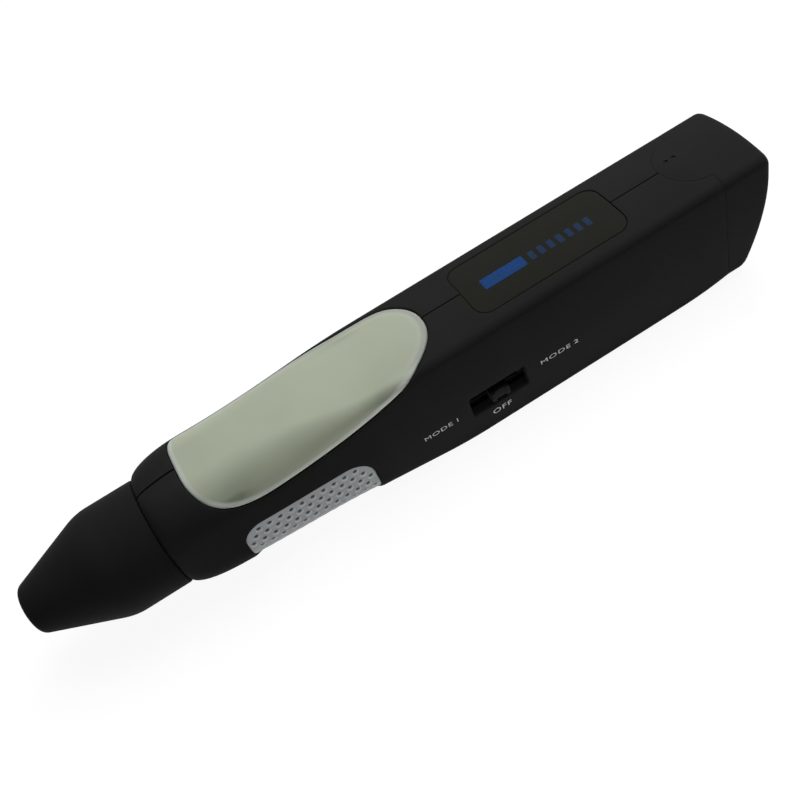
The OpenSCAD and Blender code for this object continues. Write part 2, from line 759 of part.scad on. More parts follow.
// Half section with extra points down the straight side
function filled_half(side, top, bottom) =
  let(h = half_section(part_x, side, top, bottom), e = crown_steps + corner_steps)
  concat(
    [for (i = [0:e]) h[i]],
    [for (t = [0.2:0.2:0.81]) h[e] + (h[e + 1] - h[e]) * t],
    [for (i = [e + 1:len(h) - 1]) h[i]]);
function full_ring(side, top, bottom) =
  let(h = filled_half(side, top, bottom), n = len(h))
  concat(h, [for (i = [n - 2:-1:1]) [-h[i][0], h[i][1]]]);
function shrunk(ring, k) = [for (p = ring) [p[0] * k, mix(axis_z - 1, p[1], k)]];
// Cup of the battery cap: rings from the middle of its floor, out over the rim and back over the outside
module rear_cup() {
  x0 = part_x + parting_gap;
  inner = full_ring(wall + cup_step, wall + cup_step, wall + cup_step);
  outer = full_ring(0, 0, 0);
  face = full_ring(rear_corner, rear_edge, rear_foot);
  floor_gap = wall + 0.2;
  rings = concat(
    [for (k = [0.3, 0.7]) [for (p = shrunk(inner, k)) [rear_x(p[1]) - floor_gap, p[0], p[1]]]],
    [for (t = [1, 0]) [for (p = inner) [mix(x0, rear_x(p[1]) - floor_gap, t), p[0], p[1]]]],
    [for (t = [0, 0.5, 1]) [for (p = outer) [mix(x0, rear_x(p[1]) - rear_bow, t), p[0], p[1]]]],
    [for (f = [22.5, 45, 67.5, 90])
      let(k = 1 - cos(f))
      [for (p = full_ring(rear_corner * k, rear_edge * k, rear_foot * k))
        [rear_x(p[1]) - rear_bow * (1 - sin(f)), p[0], p[1]]]],
    [for (k = [0.85, 0.6, 0.3]) [for (p = shrunk(face, k)) [rear_x(p[1]), p[0], p[1]]]]);
  n = len(rings);
  k = len(outer);
  last = (n - 1) * k;
  ends = [for (i = [1:k - 2]) each [[0, i + 1, i], [last, last + i, last + i + 1]]];
  polyhedron([for (r = rings) each r], concat(ring_faces(n, k), ends), convexity = 6);
}
module housing_screws() {
  color("#9a9c9f")
    for (p = screw_spots)
      translate([p[0], 0, p[1]]) rotate([-90, 0, 0])
        difference() {
          union() {
            translate([0, 0, -screw_end]) cylinder(r = screw_radius, h = screw_end + screw_seat + 0.2);
            translate([0, 0, screw_seat]) cylinder(r = screw_head_radius, h = screw_head_height);
          }
          for (a = [0, 90]) translate([0, 0, screw_seat + screw_head_height]) rotate([0, 0, a])
            cube([2.2, 0.6, 1.4], center = true);
        }
}

placed() {
  housing_left();
  housing_right();
  window();
  label_plate();
  grip_pad_left();
  grip_pad_right();
  nose_holder();
  nose_cap();
  probe_tip();
  probe_spring();
  probe_contact();
  probe_lead();
  uv_lamp();
  uv_leads();
  circuit_board();
  reflector();
  indicator_leds();
  controller_chip();
  buzzer();
  switch_body();
  switch_knob();
  battery();
  battery_snap();
  battery_leads();
  battery_cap();
  housing_screws();
}
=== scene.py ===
"""Looks of a hand-held diamond tester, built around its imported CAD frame.

The visible shells follow the same skin formulas as the part's source, at a finer pitch. Stations run
along the body from the front tip and arcs run round the skin from the top seam, both in millimetres.
Meshes are written in metres, in the frame of the CAD model.
"""
from __future__ import annotations

import logging
import math
from dataclasses import dataclass, field, replace
from enum import Enum
from functools import lru_cache
from typing import Callable, Iterable, Sequence

import bmesh
import bpy
import numpy as np
from mathutils import Matrix, Vector
from mathutils.geometry import delaunay_2d_cdt

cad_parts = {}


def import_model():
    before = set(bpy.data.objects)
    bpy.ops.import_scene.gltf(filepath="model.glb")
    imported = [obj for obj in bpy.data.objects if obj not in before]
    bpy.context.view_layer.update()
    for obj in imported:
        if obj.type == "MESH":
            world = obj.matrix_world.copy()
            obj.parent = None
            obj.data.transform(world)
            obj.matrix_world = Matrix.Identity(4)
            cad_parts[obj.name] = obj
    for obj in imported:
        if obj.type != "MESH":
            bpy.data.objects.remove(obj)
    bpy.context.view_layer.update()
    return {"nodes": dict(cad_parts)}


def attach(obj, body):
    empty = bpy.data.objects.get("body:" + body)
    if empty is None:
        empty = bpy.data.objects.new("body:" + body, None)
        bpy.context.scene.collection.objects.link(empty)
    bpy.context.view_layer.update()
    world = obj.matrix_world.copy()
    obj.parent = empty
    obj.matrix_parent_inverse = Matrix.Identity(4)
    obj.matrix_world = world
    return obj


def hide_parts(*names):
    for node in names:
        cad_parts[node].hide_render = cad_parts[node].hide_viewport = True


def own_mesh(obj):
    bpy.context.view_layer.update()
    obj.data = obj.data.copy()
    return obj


LOG = logging.getLogger("tester")
Array = np.ndarray
Object = bpy.types.Object
Socket = bpy.types.NodeSocket
Pair = tuple[float, float]
Triple = tuple[float, float, float]
Color = Triple
MM = 0.001
RAMP_END = 0.18
CURVE_POINTS = 500
LINE_POINTS = 600
CORNER_POINTS = 24
SMALLEST_CORNER = 0.02
BATCH = 4000
FAR_AWAY = 9.0
TINY = 0.01
SAME_POINT = 1e-5
LEAST_AREA = 1e-7
LEAST_RADIUS = 1e-6
LEAST_ARC = 1e-3


class Side(Enum):
    """The two sides of the body, as the sign of Y."""

    FAR = 1
    NEAR = -1


class Carrier(Enum):
    """CAD bodies that pieces ride on."""

    BODY = "body"
    NOSE_CAP = "cap"
    PROBE = "probe"
    KNOB = "knob"
    REAR_CAP = "rear_cap"


# Shape of the body


def clamp01(t: Array) -> Array:
    """Limits values to 0 to 1."""
    return np.clip(t, 0.0, 1.0)


def mix(a: Array, b: Array, t: Array) -> Array:
    """Straight mix from a at 0 to b at 1."""
    return a + (b - a) * t


def ease(t: Array) -> Array:
    """Smooth step from 0 to 1."""
    u = clamp01(t)
    return u * u * (3 - 2 * u)


def ramp(t: Array) -> Array:
    """Straight ramp with eased ends.

    Args:
        t: Values from 0 to 1.

    Returns:
        Values from 0 to 1.
    """
    u, e = clamp01(t), RAMP_END
    k = 2 * e * (1 - e)
    return np.where(u < e, u * u / k, np.where(u > 1 - e, 1 - (1 - u) ** 2 / k, (u - e / 2) / (1 - e)))


def fillet(distance: Array, radius: float) -> Array:
    """Depth of a rounded edge.

    Args:
        distance: Distance from the edge, in millimetres.
        radius: Radius of the rounding.

    Returns:
        How far the surface lies below the sharp shape.
    """
    u = np.clip(radius - distance, 0.0, radius)
    return radius - np.sqrt(np.maximum(radius * radius - u * u, 0.0))


def fillet_offsets(radius: float, steps: int = 4) -> list[float]:
    """Distances from an edge at which a rounding of that radius gets a line of points."""
    return [radius * (1 - math.sin(math.pi / 2 * i / steps)) for i in range(steps)]


@dataclass(frozen=True)
class BodySkin:
    """Outer skin of the tester's body, in millimetres."""

    length: float = 197.0
    collar: float = 34.3
    width: float = 25.9
    height: float = 33.6
    grip_width: float = 28.2
    axis_z: float = 18.2
    collar_radius: float = 12.9
    crown_radius: float = 52.0
    top_edge: float = 2.2
    bottom_edge: float = 2.6
    shoulder_length: float = 12.95
    grip_lift: float = 2.9
    grip_top_radius: float = 9.75
    grip_bottom_radius: float = 10.4
    rear_taper: float = 0.15
    rise_rate: float = 0.0071
    lean_rate: float = 0.0122
    lean_drop: float = 6.25
    part_share: float = 0.9164
    rise_share: float = 0.8316
    bottom_span: Pair = (0.0443, 0.4831)
    top_span: Pair = (0.1026, 0.3762)
    grip_span: Pair = (0.0796, 0.2717)
    taper_span: Pair = (0.7333, 1.0)
    taper_power: float = 1.3
    least_flat: float = 0.5

    def along(self, share: float) -> float:
        """Station at a share of the length behind the cap."""
        return self.collar + (self.length - self.collar) * share

    def through(self, x: Array, span: Pair) -> Array:
        """How far a station is through a span that is given in shares of that length."""
        x0, x1 = (self.along(share) for share in span)
        return (x - x0) / (x1 - x0)

    @property
    def part_x(self) -> float:
        """Station of the parting line of the battery cap."""
        return self.along(self.part_share)

    @property
    def rise_x(self) -> float:
        """Station where the underside starts to rise."""
        return self.along(self.rise_share)

    def shoulder(self, x: Array) -> Array:
        """Rounding behind the nose cap, from 0 at the collar to 1."""
        t = clamp01((x - self.collar) / self.shoulder_length)
        return np.sqrt(1 - (1 - t) ** 2)

    def bottom_blend(self, x: Array) -> Array:
        """Share of the square rear shape in the underside."""
        return ramp(self.through(x, self.bottom_span))

    def top_blend(self, x: Array) -> Array:
        """Share of the square rear shape in the top."""
        return ease(self.through(x, self.top_span))

    def half_width(self, x: Array) -> Array:
        """Half the width of the body.

        Args:
            x: Stations.

        Returns:
            Half widths.
        """
        w = mix(self.grip_width / 2, self.width / 2, ease(self.through(x, self.grip_span)))
        taper = self.rear_taper * clamp01(self.through(x, self.taper_span)) ** self.taper_power
        return mix(self.collar_radius, w, self.shoulder(x)) - taper

    def top_z(self, x: Array) -> Array:
        """Height of the top seam."""
        return mix(self.axis_z + self.collar_radius, self.height, self.shoulder(x))

    def bottom_z(self, x: Array) -> Array:
        """Height of the bottom seam.

        Args:
            x: Stations.

        Returns:
            Heights.
        """
        low = mix(self.grip_lift, 0.0, self.bottom_blend(x))
        rise = self.rise_rate * np.maximum(0.0, x - self.rise_x) ** 2
        return mix(self.axis_z - self.collar_radius, low, self.shoulder(x)) + rise

    def corner(self, x: Array, radius: Array) -> Array:
        """A corner radius that grows out of the round collar and leaves a flat."""
        blended = mix(self.collar_radius, radius, self.shoulder(x))
        return np.minimum(blended, self.half_width(x) - self.least_flat)

    def top_radius(self, x: Array) -> Array:
        """Corner radius at the top."""
        return self.corner(x, mix(self.grip_top_radius, self.top_edge, self.top_blend(x)))

    def bottom_radius(self, x: Array) -> Array:
        """Corner radius at the bottom."""
        return self.corner(x, mix(self.grip_bottom_radius, self.bottom_edge, self.bottom_blend(x)))

    def _frame(self, x: Array) -> dict[str, Array]:
        """Sizes of the section that the arc length depends on.

        Args:
            x: Stations.

        Returns:
            Sizes by name, with s1 to end as arc lengths.
        """
        a, rt, rb, c = self.half_width(x), self.top_radius(x), self.bottom_radius(x), self.top_blend(x)
        yc = a - rt
        f0 = np.arctan(c * yc / self.crown_radius)
        z0 = self.top_z(x) - c * yc * yc / (2 * self.crown_radius) - rt * np.cos(f0)
        z1 = self.bottom_z(x) + rb
        s1 = yc + rt * (np.pi / 2 - f0)
        s2 = s1 + z0 - z1
        s3 = s2 + rb * np.pi / 2
        return {"a": a, "rt": rt, "rb": rb, "c": c, "yc": yc, "f0": f0, "z0": z0, "z1": z1,
                "s1": s1, "s2": s2, "s3": s3, "end": s3 + a - rb}

    def end(self, x: Array) -> Array:
        """Arc length from the top seam to the bottom seam."""
        return self._frame(np.asarray(x, float))["end"]

    def arcs(self, x: float, counts: Sequence[int]) -> Array:
        """Arc lengths at one station that follow its flats and corners.

        Args:
            x: Station.
            counts: Steps over the crown, the top corner, the side, the bottom corner and the bottom.

        Returns:
            Arc lengths from the top seam to the bottom seam.
        """
        f = self._frame(np.asarray(float(x)))
        marks = [0.0, float(f["yc"]), float(f["s1"]), float(f["s2"]), float(f["s3"]), float(f["end"])]
        runs = [np.linspace(marks[i], marks[i + 1], n, endpoint=False) for i, n in enumerate(counts)]
        return np.concatenate(runs + [np.array([marks[-1]])])

    def section(self, x: Array, s: Array) -> tuple[Array, Array]:
        """Skin points of the +Y half.

        Args:
            x: Stations.
            s: Arc lengths from the top seam.

        Returns:
            The points' y and z.
        """
        x, q = np.broadcast_arrays(np.asarray(x, float), np.asarray(s, float))
        f = self._frame(x)
        g = np.clip((np.pi / 2 - f["f0"]) - (q - f["yc"]) / f["rt"], 0.0, np.pi / 2)
        h = np.clip((q - f["s2"]) / f["rb"], 0.0, np.pi / 2)
        sin0 = np.sin(f["f0"])
        zones = [q < f["yc"], q < f["s1"], q < f["s2"], q < f["s3"]]
        crown = self.top_z(x) - f["c"] * q * q / (2 * self.crown_radius)
        y = np.select(zones, [q, f["yc"] + f["rt"] * (np.cos(g) - sin0) / (1 - sin0), f["a"],
                              f["a"] - f["rb"] + f["rb"] * np.cos(h)],
                      np.maximum(0.0, f["a"] - f["rb"] - (q - f["s3"])))
        z = np.select(zones, [crown, f["z0"] + f["rt"] * np.sin(g), f["z0"] - (q - f["s1"]),
                              f["z1"] - f["rb"] * np.sin(h)], self.bottom_z(x))
        return y, z

    def point(self, x: Array, s: Array, depth: Array) -> Array:
        """Points under the skin.

        Args:
            x: Stations.
            s: Arc lengths, negative on the -Y side.
            depth: Distance below the skin, towards the nose axis.

        Returns:
            Points as an array of rows, in millimetres.
        """
        x, s = np.asarray(x, float), np.asarray(s, float)
        y, z = self.section(x, np.abs(s))
        v = np.hypot(y, z - self.axis_z)
        k = 1 - depth / np.maximum(v, LEAST_RADIUS)
        return np.stack([x, np.where(s < 0, -y, y) * k, self.axis_z + (z - self.axis_z) * k], axis=-1)

    def arc_at(self, x: float, z: float) -> float:
        """Arc length at which the side has height z.

        Args:
            x: Station.
            z: Height.

        Returns:
            Arc length.
        """
        f = self._frame(np.asarray(float(x)))
        s = np.linspace(float(f["yc"]), float(f["s3"]), LINE_POINTS)
        return float(np.interp(-z, -self.section(np.full(LINE_POINTS, x), s)[1], s))

    def rear_x(self, z: Array) -> Array:
        """Station of the leaning rear face at height z."""
        return self.length - self.lean_rate * np.maximum(0.0, self.height - self.lean_drop - z) ** 2


SKIN = BodySkin()
ORIGIN = np.array([SKIN.length / 2, 0.0, 0.0])


# Outlines on the skin


def resample(points: Array, count: int, closed: bool) -> Array:
    """Spreads points evenly along a line.

    Args:
        points: The line, as rows.
        count: How many points to make.
        closed: Whether the line goes back to its start, which is then not repeated.

    Returns:
        The new points.
    """
    p = np.vstack([points, points[:1]]) if closed else points
    run = np.concatenate([[0.0], np.cumsum(np.hypot(*np.diff(p, axis=0).T))])
    t = np.linspace(0.0, run[-1], count + (1 if closed else 0))
    made = np.stack([np.interp(t, run, p[:, 0]), np.interp(t, run, p[:, 1])], axis=1)
    return made[:-1] if closed else made


def circle(x: float, s: float, radius: float, count: int) -> Array:
    """A circle as rows of station and arc."""
    t = np.linspace(0, 2 * np.pi, count, endpoint=False)
    return np.stack([x + radius * np.cos(t), s + radius * np.sin(t)], 1)


def at_station(x: float, arcs: Array) -> Array:
    """A line round the skin at one station, as rows of station and arc."""
    return np.stack([np.full(len(arcs), x), arcs], 1)


def grid(xs: Array, arcs: Array) -> Array:
    """All pairs of those stations and arcs, as rows."""
    gx, gs = np.meshgrid(xs, arcs)
    return np.stack([gx.ravel(), gs.ravel()], 1)


@dataclass(frozen=True)
class WindowOutline:
    """Outline of the indicator window: a blunt front, a rounder rear and a shorter reach on the far side."""

    x0: float = SKIN.along(0.0658)
    length: float = 64.3
    wrap: float = 17.9
    far_wrap: float = 10.9
    widest: float = 0.33
    front_power: float = 3.2
    rear_power: float = 2.2
    limit_power: float = 10.0

    @property
    def xm(self) -> float:
        """Station of the widest place."""
        return self.x0 + self.length * self.widest

    def edge(self, x: Array, side: Side) -> Array:
        """Arc length of the outline at each station.

        Args:
            x: Stations.
            side: Side of the body.

        Returns:
            Positive arc lengths.
        """
        front = x < self.xm
        a = np.where(front, self.xm - self.x0, self.x0 + self.length - self.xm)
        n = np.where(front, self.front_power, self.rear_power)
        near = self.wrap * np.maximum(1 - np.minimum(np.abs(x - self.xm) / a, 1.0) ** n, 0.0) ** (1 / n)
        if side is Side.NEAR:
            return near
        p = self.limit_power
        return (np.maximum(near, LEAST_ARC) ** -p + self.far_wrap**-p) ** (-1 / p)

    @lru_cache(maxsize=None)
    def half(self, side: Side) -> Array:
        """Half of the plain outline.

        Args:
            side: Side of the body.

        Returns:
            Rows of station and positive arc, from the front tip to the rear tip.
        """
        t = np.linspace(0, np.pi / 2, CURVE_POINTS)
        front = self.xm - (self.xm - self.x0) * np.cos(t) ** (2 / self.front_power)
        rear = self.xm + (self.x0 + self.length - self.xm) * np.sin(t) ** (2 / self.rear_power)
        x = np.concatenate([front, rear[1:]])
        arcs = self.edge(x, side)
        arcs[[0, -1]] = 0.0
        return resample(np.stack([x, arcs], 1), LINE_POINTS, False)

    def gap(self, x: Array, s: Array) -> Array:
        """Distance outside the outline, negative inside.

        Args:
            x: Stations.
            s: Arc lengths, negative on the near side.

        Returns:
            Distances.
        """
        x, s = np.broadcast_arrays(np.asarray(x, float), np.asarray(s, float))
        made = np.zeros(x.shape)
        for side in Side:
            mine = s < 0 if side is Side.NEAR else s >= 0
            made[mine] = self.half_gap(np.stack([x[mine], np.abs(s[mine])], 1), side)
        return made

    def half_gap(self, spots: Array, side: Side) -> Array:
        """Distances from one half of the outline.

        Args:
            spots: Rows of station and positive arc.
            side: Side of the body.

        Returns:
            Distances, negative inside.
        """
        line = self.half(side)
        made = np.zeros(len(spots))
        for k in range(0, len(spots), BATCH):
            q = spots[k : k + BATCH]
            nearest = np.argmin(((q[:, None, :] - line[None]) ** 2).sum(2), axis=1)
            best = np.full(len(q), np.inf)
            for shift in (-1, 0):
                i = np.clip(nearest + shift, 0, len(line) - 2)
                a, d = line[i], line[i + 1] - line[i]
                t = clamp01(((q - a) * d).sum(1) / (d * d).sum(1))
                best = np.minimum(best, np.hypot(*(q - a - d * t[:, None]).T))
            made[k : k + BATCH] = np.where(q[:, 1] < self.edge(q[:, 0], side), -best, best)
        return made

    def line(self, grow: float, count: int, side: Side) -> Array:
        """Half of the outline, grown outwards.

        Args:
            grow: How far outwards.
            count: How many points to make.
            side: Side of the body.

        Returns:
            Rows of station and positive arc.
        """
        base = self.half(side)
        way = np.gradient(base, axis=0)
        out = np.stack([-way[:, 1], way[:, 0]], 1) / np.hypot(*way.T)[:, None]
        out[0], out[-1] = (-1.0, 0.0), (1.0, 0.0)
        return resample(base + grow * out, count, False)


@dataclass(frozen=True)
class BoxOutline:
    """A rounded rectangle on the skin."""

    x: float
    arc: float
    length: float
    width: float
    corner: float
    slope: float = 0.0

    def middle(self, x: Array) -> Array:
        """Arc length of the middle line, which may slope."""
        return self.arc + self.slope * (x - self.x)

    def gap(self, x: Array, s: Array) -> Array:
        """Distance outside the outline, negative inside.

        Args:
            x: Stations.
            s: Arc lengths from the top seam.

        Returns:
            Distances.
        """
        u = np.abs(x - self.x) - self.length / 2 + self.corner
        v = np.abs(s - self.middle(x)) - self.width / 2 + self.corner
        return np.hypot(np.maximum(u, 0), np.maximum(v, 0)) + np.minimum(np.maximum(u, v), 0) - self.corner

    def line(self, grow: float, count: int) -> Array:
        """The whole outline, grown outwards.

        Args:
            grow: How far outwards.
            count: How many points to make.

        Returns:
            Rows of station and arc.
        """
        r = max(self.corner + grow, SMALLEST_CORNER)
        hx, hs = self.length / 2 + grow - r, self.width / 2 + grow - r
        t = np.linspace(0, np.pi / 2, CORNER_POINTS)
        parts = [np.stack([cx * hx + r * np.cos(t + turn), cs * hs + r * np.sin(t + turn)], 1)
                 for cx, cs, turn in ((1, 1, 0), (-1, 1, np.pi / 2), (-1, -1, np.pi), (1, -1, 1.5 * np.pi))]
        p = resample(np.vstack(parts), count, True)
        return np.stack([p[:, 0] + self.x, p[:, 1] + self.middle(p[:, 0] + self.x)], 1)

    def upper_line(self, grow: float, count: int) -> Array:
        """The +Y half of an outline about the top seam, from the front to the rear.

        Args:
            grow: How far outwards.
            count: How many points to make.

        Returns:
            Rows of station and arc.
        """
        r = self.corner + grow
        hx, hs = self.length / 2 + grow - r, self.width / 2 + grow - r
        t = np.linspace(0, np.pi / 2, CORNER_POINTS)
        front = np.stack([-hx - r * np.cos(t), hs + r * np.sin(t)], 1)
        rear = np.stack([hx + r * np.sin(t), hs + r * np.cos(t)], 1)
        ends = [np.array([[-hx - r, 0.0]]), front, rear, np.array([[hx + r, 0.0]])]
        return resample(np.vstack(ends), count, False) + np.array([self.x, 0.0])


@dataclass(frozen=True)
class TongueOutline:
    """Round tongue of the battery cap, about the parting line."""

    radius: float = 8.6
    x: float = SKIN.part_x

    def gap(self, x: Array, s: Array) -> Array:
        """Distance outside the outline, negative inside."""
        return np.hypot(x - self.x, s) - self.radius

    def line(self, grow: float, count: int) -> Array:
        """Quarter of the circle on the +Y side, from the top seam to the parting line."""
        t = np.linspace(0, np.pi / 2, count)
        return np.stack([self.x - (self.radius + grow) * np.cos(t), (self.radius + grow) * np.sin(t)], 1)


@dataclass(frozen=True)
class ScrewHole:
    """Counterbore of a housing screw in the far half shell."""

    x: float
    z: float
    radius: float = 2.35
    seat: float = 4.5
    least_y: float = 3.0

    def gap(self, x: Array, s: Array) -> Array:
        """Distance outside the bore as seen from the side, negative inside."""
        y, z = SKIN.section(x, s)
        return np.where(y > self.least_y, np.hypot(x - self.x, z - self.z) - self.radius, FAR_AWAY)

    def line(self, grow: float, count: int) -> Array:
        """The edge of the bore on the skin, grown outwards."""
        ring = circle(self.x, self.z, self.radius + grow, count)
        return np.array([(x, SKIN.arc_at(x, z)) for x, z in ring])


WINDOW = WindowOutline()
PAD = BoxOutline(x=SKIN.along(0.1948), arc=34.6, length=33.7, width=17.2, corner=6.0, slope=0.1)
PLATE = BoxOutline(x=SKIN.along(0.5261) + 20.6, arc=0.0, length=41.2, width=17.8, corner=3.5)
TONGUE = TongueOutline()
SLOT_X, SLOT_Z = SKIN.along(0.5101), 11.8
SLOT = BoxOutline(x=SLOT_X, arc=SKIN.arc_at(SLOT_X, SLOT_Z), length=15.5, width=6.4, corner=0.45)
SCREWS = (ScrewHole(SKIN.along(0.0645), 8.2), ScrewHole(SKIN.along(0.4266), 6.6),
          ScrewHole(SKIN.along(0.5482), SKIN.height - 6.8))
INLAY_GAP = 0.12
PARTING_GAP = 0.15
SHUT_GAP = 0.05
WALL_WIDTH = 0.03
EDGE_SAFE = 0.004


def pocket(gap: Array, radius: float, depth: float) -> Array:
    """Depth of a let-in place: a rounded edge, a steep wall and a flat floor.

    Args:
        gap: Distance outside the outline, negative inside.
        radius: Rounding of the edge.
        depth: Depth of the floor.

    Returns:
        Depth below the skin.
    """
    wall = radius + (depth - radius) * clamp01((EDGE_SAFE / 2 - gap) / WALL_WIDTH)
    return np.where(gap > EDGE_SAFE / 2, fillet(gap, radius), wall)


def pocket_grows(radius: float) -> list[float]:
    """Offsets of the lines that a pocket's edge needs."""
    return fillet_offsets(radius) + [EDGE_SAFE, -WALL_WIDTH]


# Meshes


class SkinSheet:
    """Points and lines on the skin that are joined into triangles."""

    def __init__(self) -> None:
        """Starts an empty sheet."""
        self.points: list[tuple[float, float]] = []
        self.edges: list[tuple[int, int]] = []

    def add_points(self, points: Array) -> None:
        """Adds loose points."""
        self.points += [(float(a), float(b)) for a, b in points]

    def add_line(self, points: Array, closed: bool = False) -> None:
        """Adds a line that the triangles keep.

        Args:
            points: The line, as rows of station and arc.
            closed: Whether it goes back to its start.
        """
        start = len(self.points)
        self.add_points(points)
        n = len(points)
        self.edges += [(start + i, start + i + 1) for i in range(n - 1)]
        if closed:
            self.edges.append((start + n - 1, start))

    def triangles(self, keep: Callable[[Array, Array], Array]) -> tuple[Array, Array]:
        """Joins the points.

        Args:
            keep: Says from the middles of the triangles which of them to keep.

        Returns:
            Points as rows of station and arc, and triangles as rows of three numbers.
        """
        coords = [Vector(p) for p in self.points]
        verts, _, faces, *_ = delaunay_2d_cdt(coords, self.edges, [], 0, SAME_POINT, False)
        p = np.array([tuple(v) for v in verts], float)
        t = np.array([f for f in faces if len(f) == 3], int)
        a, b, c = p[t[:, 0]], p[t[:, 1]], p[t[:, 2]]
        area = (b[:, 0] - a[:, 0]) * (c[:, 1] - a[:, 1]) - (b[:, 1] - a[:, 1]) * (c[:, 0] - a[:, 0])
        t[area < 0] = t[area < 0][:, ::-1]
        middle = (a + b + c) / 3
        t = t[(np.abs(area) > LEAST_AREA) & keep(middle[:, 0], middle[:, 1])]
        used = np.unique(t)
        number = np.full(len(p), -1)
        number[used] = np.arange(len(used))
        return p[used], number[t]


@dataclass
class MeshData:
    """Vertices in millimetres and faces of a piece under construction."""

    verts: list[Array] = field(default_factory=list)
    faces: list[tuple[int, ...]] = field(default_factory=list)
    count: int = 0

    def add(self, verts: Array, faces: Iterable[Sequence[int]]) -> int:
        """Adds vertices and faces that count from them.

        Args:
            verts: Points as rows.
            faces: Faces with numbers into verts.

        Returns:
            The number of the first new vertex.
        """
        start = self.count
        self.verts.append(np.asarray(verts, float))
        self.count += len(verts)
        self.faces += [tuple(int(i) + start for i in f) for f in faces]
        return start

    def add_rings(self, rings: Sequence[Array], close_start: bool = True, close_end: bool = True) -> None:
        """Adds rings of equal length with quads between them.

        Args:
            rings: Closed rings of points.
            close_start: Whether a fan closes the first ring.
            close_end: Whether a fan closes the last ring.
        """
        n, k = len(rings), len(rings[0])
        steps = [(j, (j + 1) % k) for j in range(k)]
        faces = [(i + a, i + b, i + k + b, i + k + a) for i in range(0, (n - 1) * k, k) for a, b in steps]
        start = self.add(np.vstack(rings), faces)
        ends = ((close_start, rings[0], start, True), (close_end, rings[-1], start + (n - 1) * k, False))
        for wanted, ring, first, flip in ends:
            if wanted:
                middle = self.add(ring.mean(0)[None], [])
                fan = [(first + a, first + b, middle) for a, b in steps]
                self.faces += [f[::-1] for f in fan] if flip else fan

    def add_solid(self, points: Array, tris: Array, outer: Array, inner: Array, flip: bool,
                  open_edge: Callable[[Array], bool] | None = None) -> None:
        """Adds a sheet with a thickness.

        Args:
            points: Points of the sheet as rows of station and arc.
            tris: Triangles of the sheet.
            outer: Outer place of each point.
            inner: Inner place of each point.
            flip: Whether the faces turn over, as they do on the -Y side.
            open_edge: Says for the two ends of an edge whether it gets no wall.
        """
        n = len(points)
        a = tris[:, ::-1] if flip else tris
        faces = [tuple(f) for f in a] + [tuple(f[::-1] + n) for f in a]
        seen = {(int(f[i]), int(f[(i + 1) % 3])): True for f in a for i in range(3)}
        for i, j in seen:
            if (j, i) not in seen and not (open_edge and open_edge(points[[i, j]])):
                faces.append((j, i, i + n, j + n))
        self.add(np.vstack([outer, inner]), faces)

    def add_work(self, work: bmesh.types.BMesh) -> None:
        """Adds the faces of a working mesh and frees it.

        Args:
            work: The mesh, in millimetres.
        """
        work.verts.index_update()
        faces = [[v.index for v in f.verts] for f in work.faces]
        self.add(np.array([tuple(v.co) for v in work.verts]), faces)
        work.free()

    def to_object(self, name: str, sharp: float = 34.0, merge: float = 0.0) -> Object:
        """Makes the Blender object.

        Args:
            name: Name of the piece.
            sharp: Angle in degrees over which an edge stays sharp.
            merge: Distance in millimetres within which points become one.

        Returns:
            The object, in the frame of the CAD model.
        """
        mesh = bpy.data.meshes.new(name)
        mesh.from_pydata(((np.vstack(self.verts) - ORIGIN) * MM).tolist(), [], self.faces)
        if merge > 0:
            work = bmesh.new()
            work.from_mesh(mesh)
            bmesh.ops.remove_doubles(work, verts=work.verts, dist=merge * MM)
            bmesh.ops.recalc_face_normals(work, faces=work.faces)
            work.to_mesh(mesh)
            work.free()
        mesh.validate()
        mesh.polygons.foreach_set("use_smooth", [True] * len(mesh.polygons))
        mesh.set_sharp_from_angle(angle=math.radians(sharp))
        mesh.update()
        return add_object(name, mesh)


def add_object(name: str, data: bpy.types.ID) -> Object:
    """Makes an object of that data and puts it in the scene.

    Args:
        name: Name of the object.
        data: Its mesh, lamp, letters or camera.

    Returns:
        The object.
    """
    obj = bpy.data.objects.new(name, data)
    bpy.context.scene.collection.objects.link(obj)
    return obj


def store(obj: Object, name: str, values: Array) -> None:
    """Stores a value for each point of a mesh, for its finish to read."""
    obj.data.attributes.new(name, "FLOAT", "POINT").data.foreach_set("value", values.astype(np.float32))


def box_mesh(data: MeshData, low: Sequence[float], high: Sequence[float], bevel: float) -> None:
    """Adds a box with rounded edges.

    Args:
        data: Where it goes.
        low: Lowest corner in millimetres.
        high: Highest corner in millimetres.
        bevel: Size of the rounding of the edges.
    """
    work = bmesh.new()
    bmesh.ops.create_cube(work, size=1.0)
    low, high = np.array(low, float), np.array(high, float)
    size, middle = high - low, (high + low) / 2
    for v in work.verts:
        v.co = Vector(tuple(np.array(v.co) * size + middle))
    bmesh.ops.bevel(work, geom=list(work.edges), offset=bevel, segments=3, profile=0.5, affect="EDGES")
    data.add_work(work)


def dress(obj: Object, finish: Finish, body: Carrier,
          replaces: Sequence[str] = ()) -> Object:
    """Gives a piece its material, its body and the CAD nodes that it stands for.

    Args:
        obj: The piece.
        finish: Its finish.
        body: The CAD body that it rides on.
        replaces: Names of CAD nodes.

    Returns:
        The piece.
    """
    obj.data.materials.clear()
    obj.data.materials.append(finish.material())
    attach(obj, body.value)
    if replaces:
        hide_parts(*replaces)
    LOG.info("piece %s on %s: %d faces", obj.name, body.value, len(obj.data.polygons))
    return obj


# Finishes

WIDE_SPAN = (0.3, 0.7)
NARROW_SPAN = (0.35, 0.65)
FINE = 3.0


def scaled(color: Color, share: float) -> Color:
    """A colour made darker or lighter."""
    return tuple(c * share for c in color)


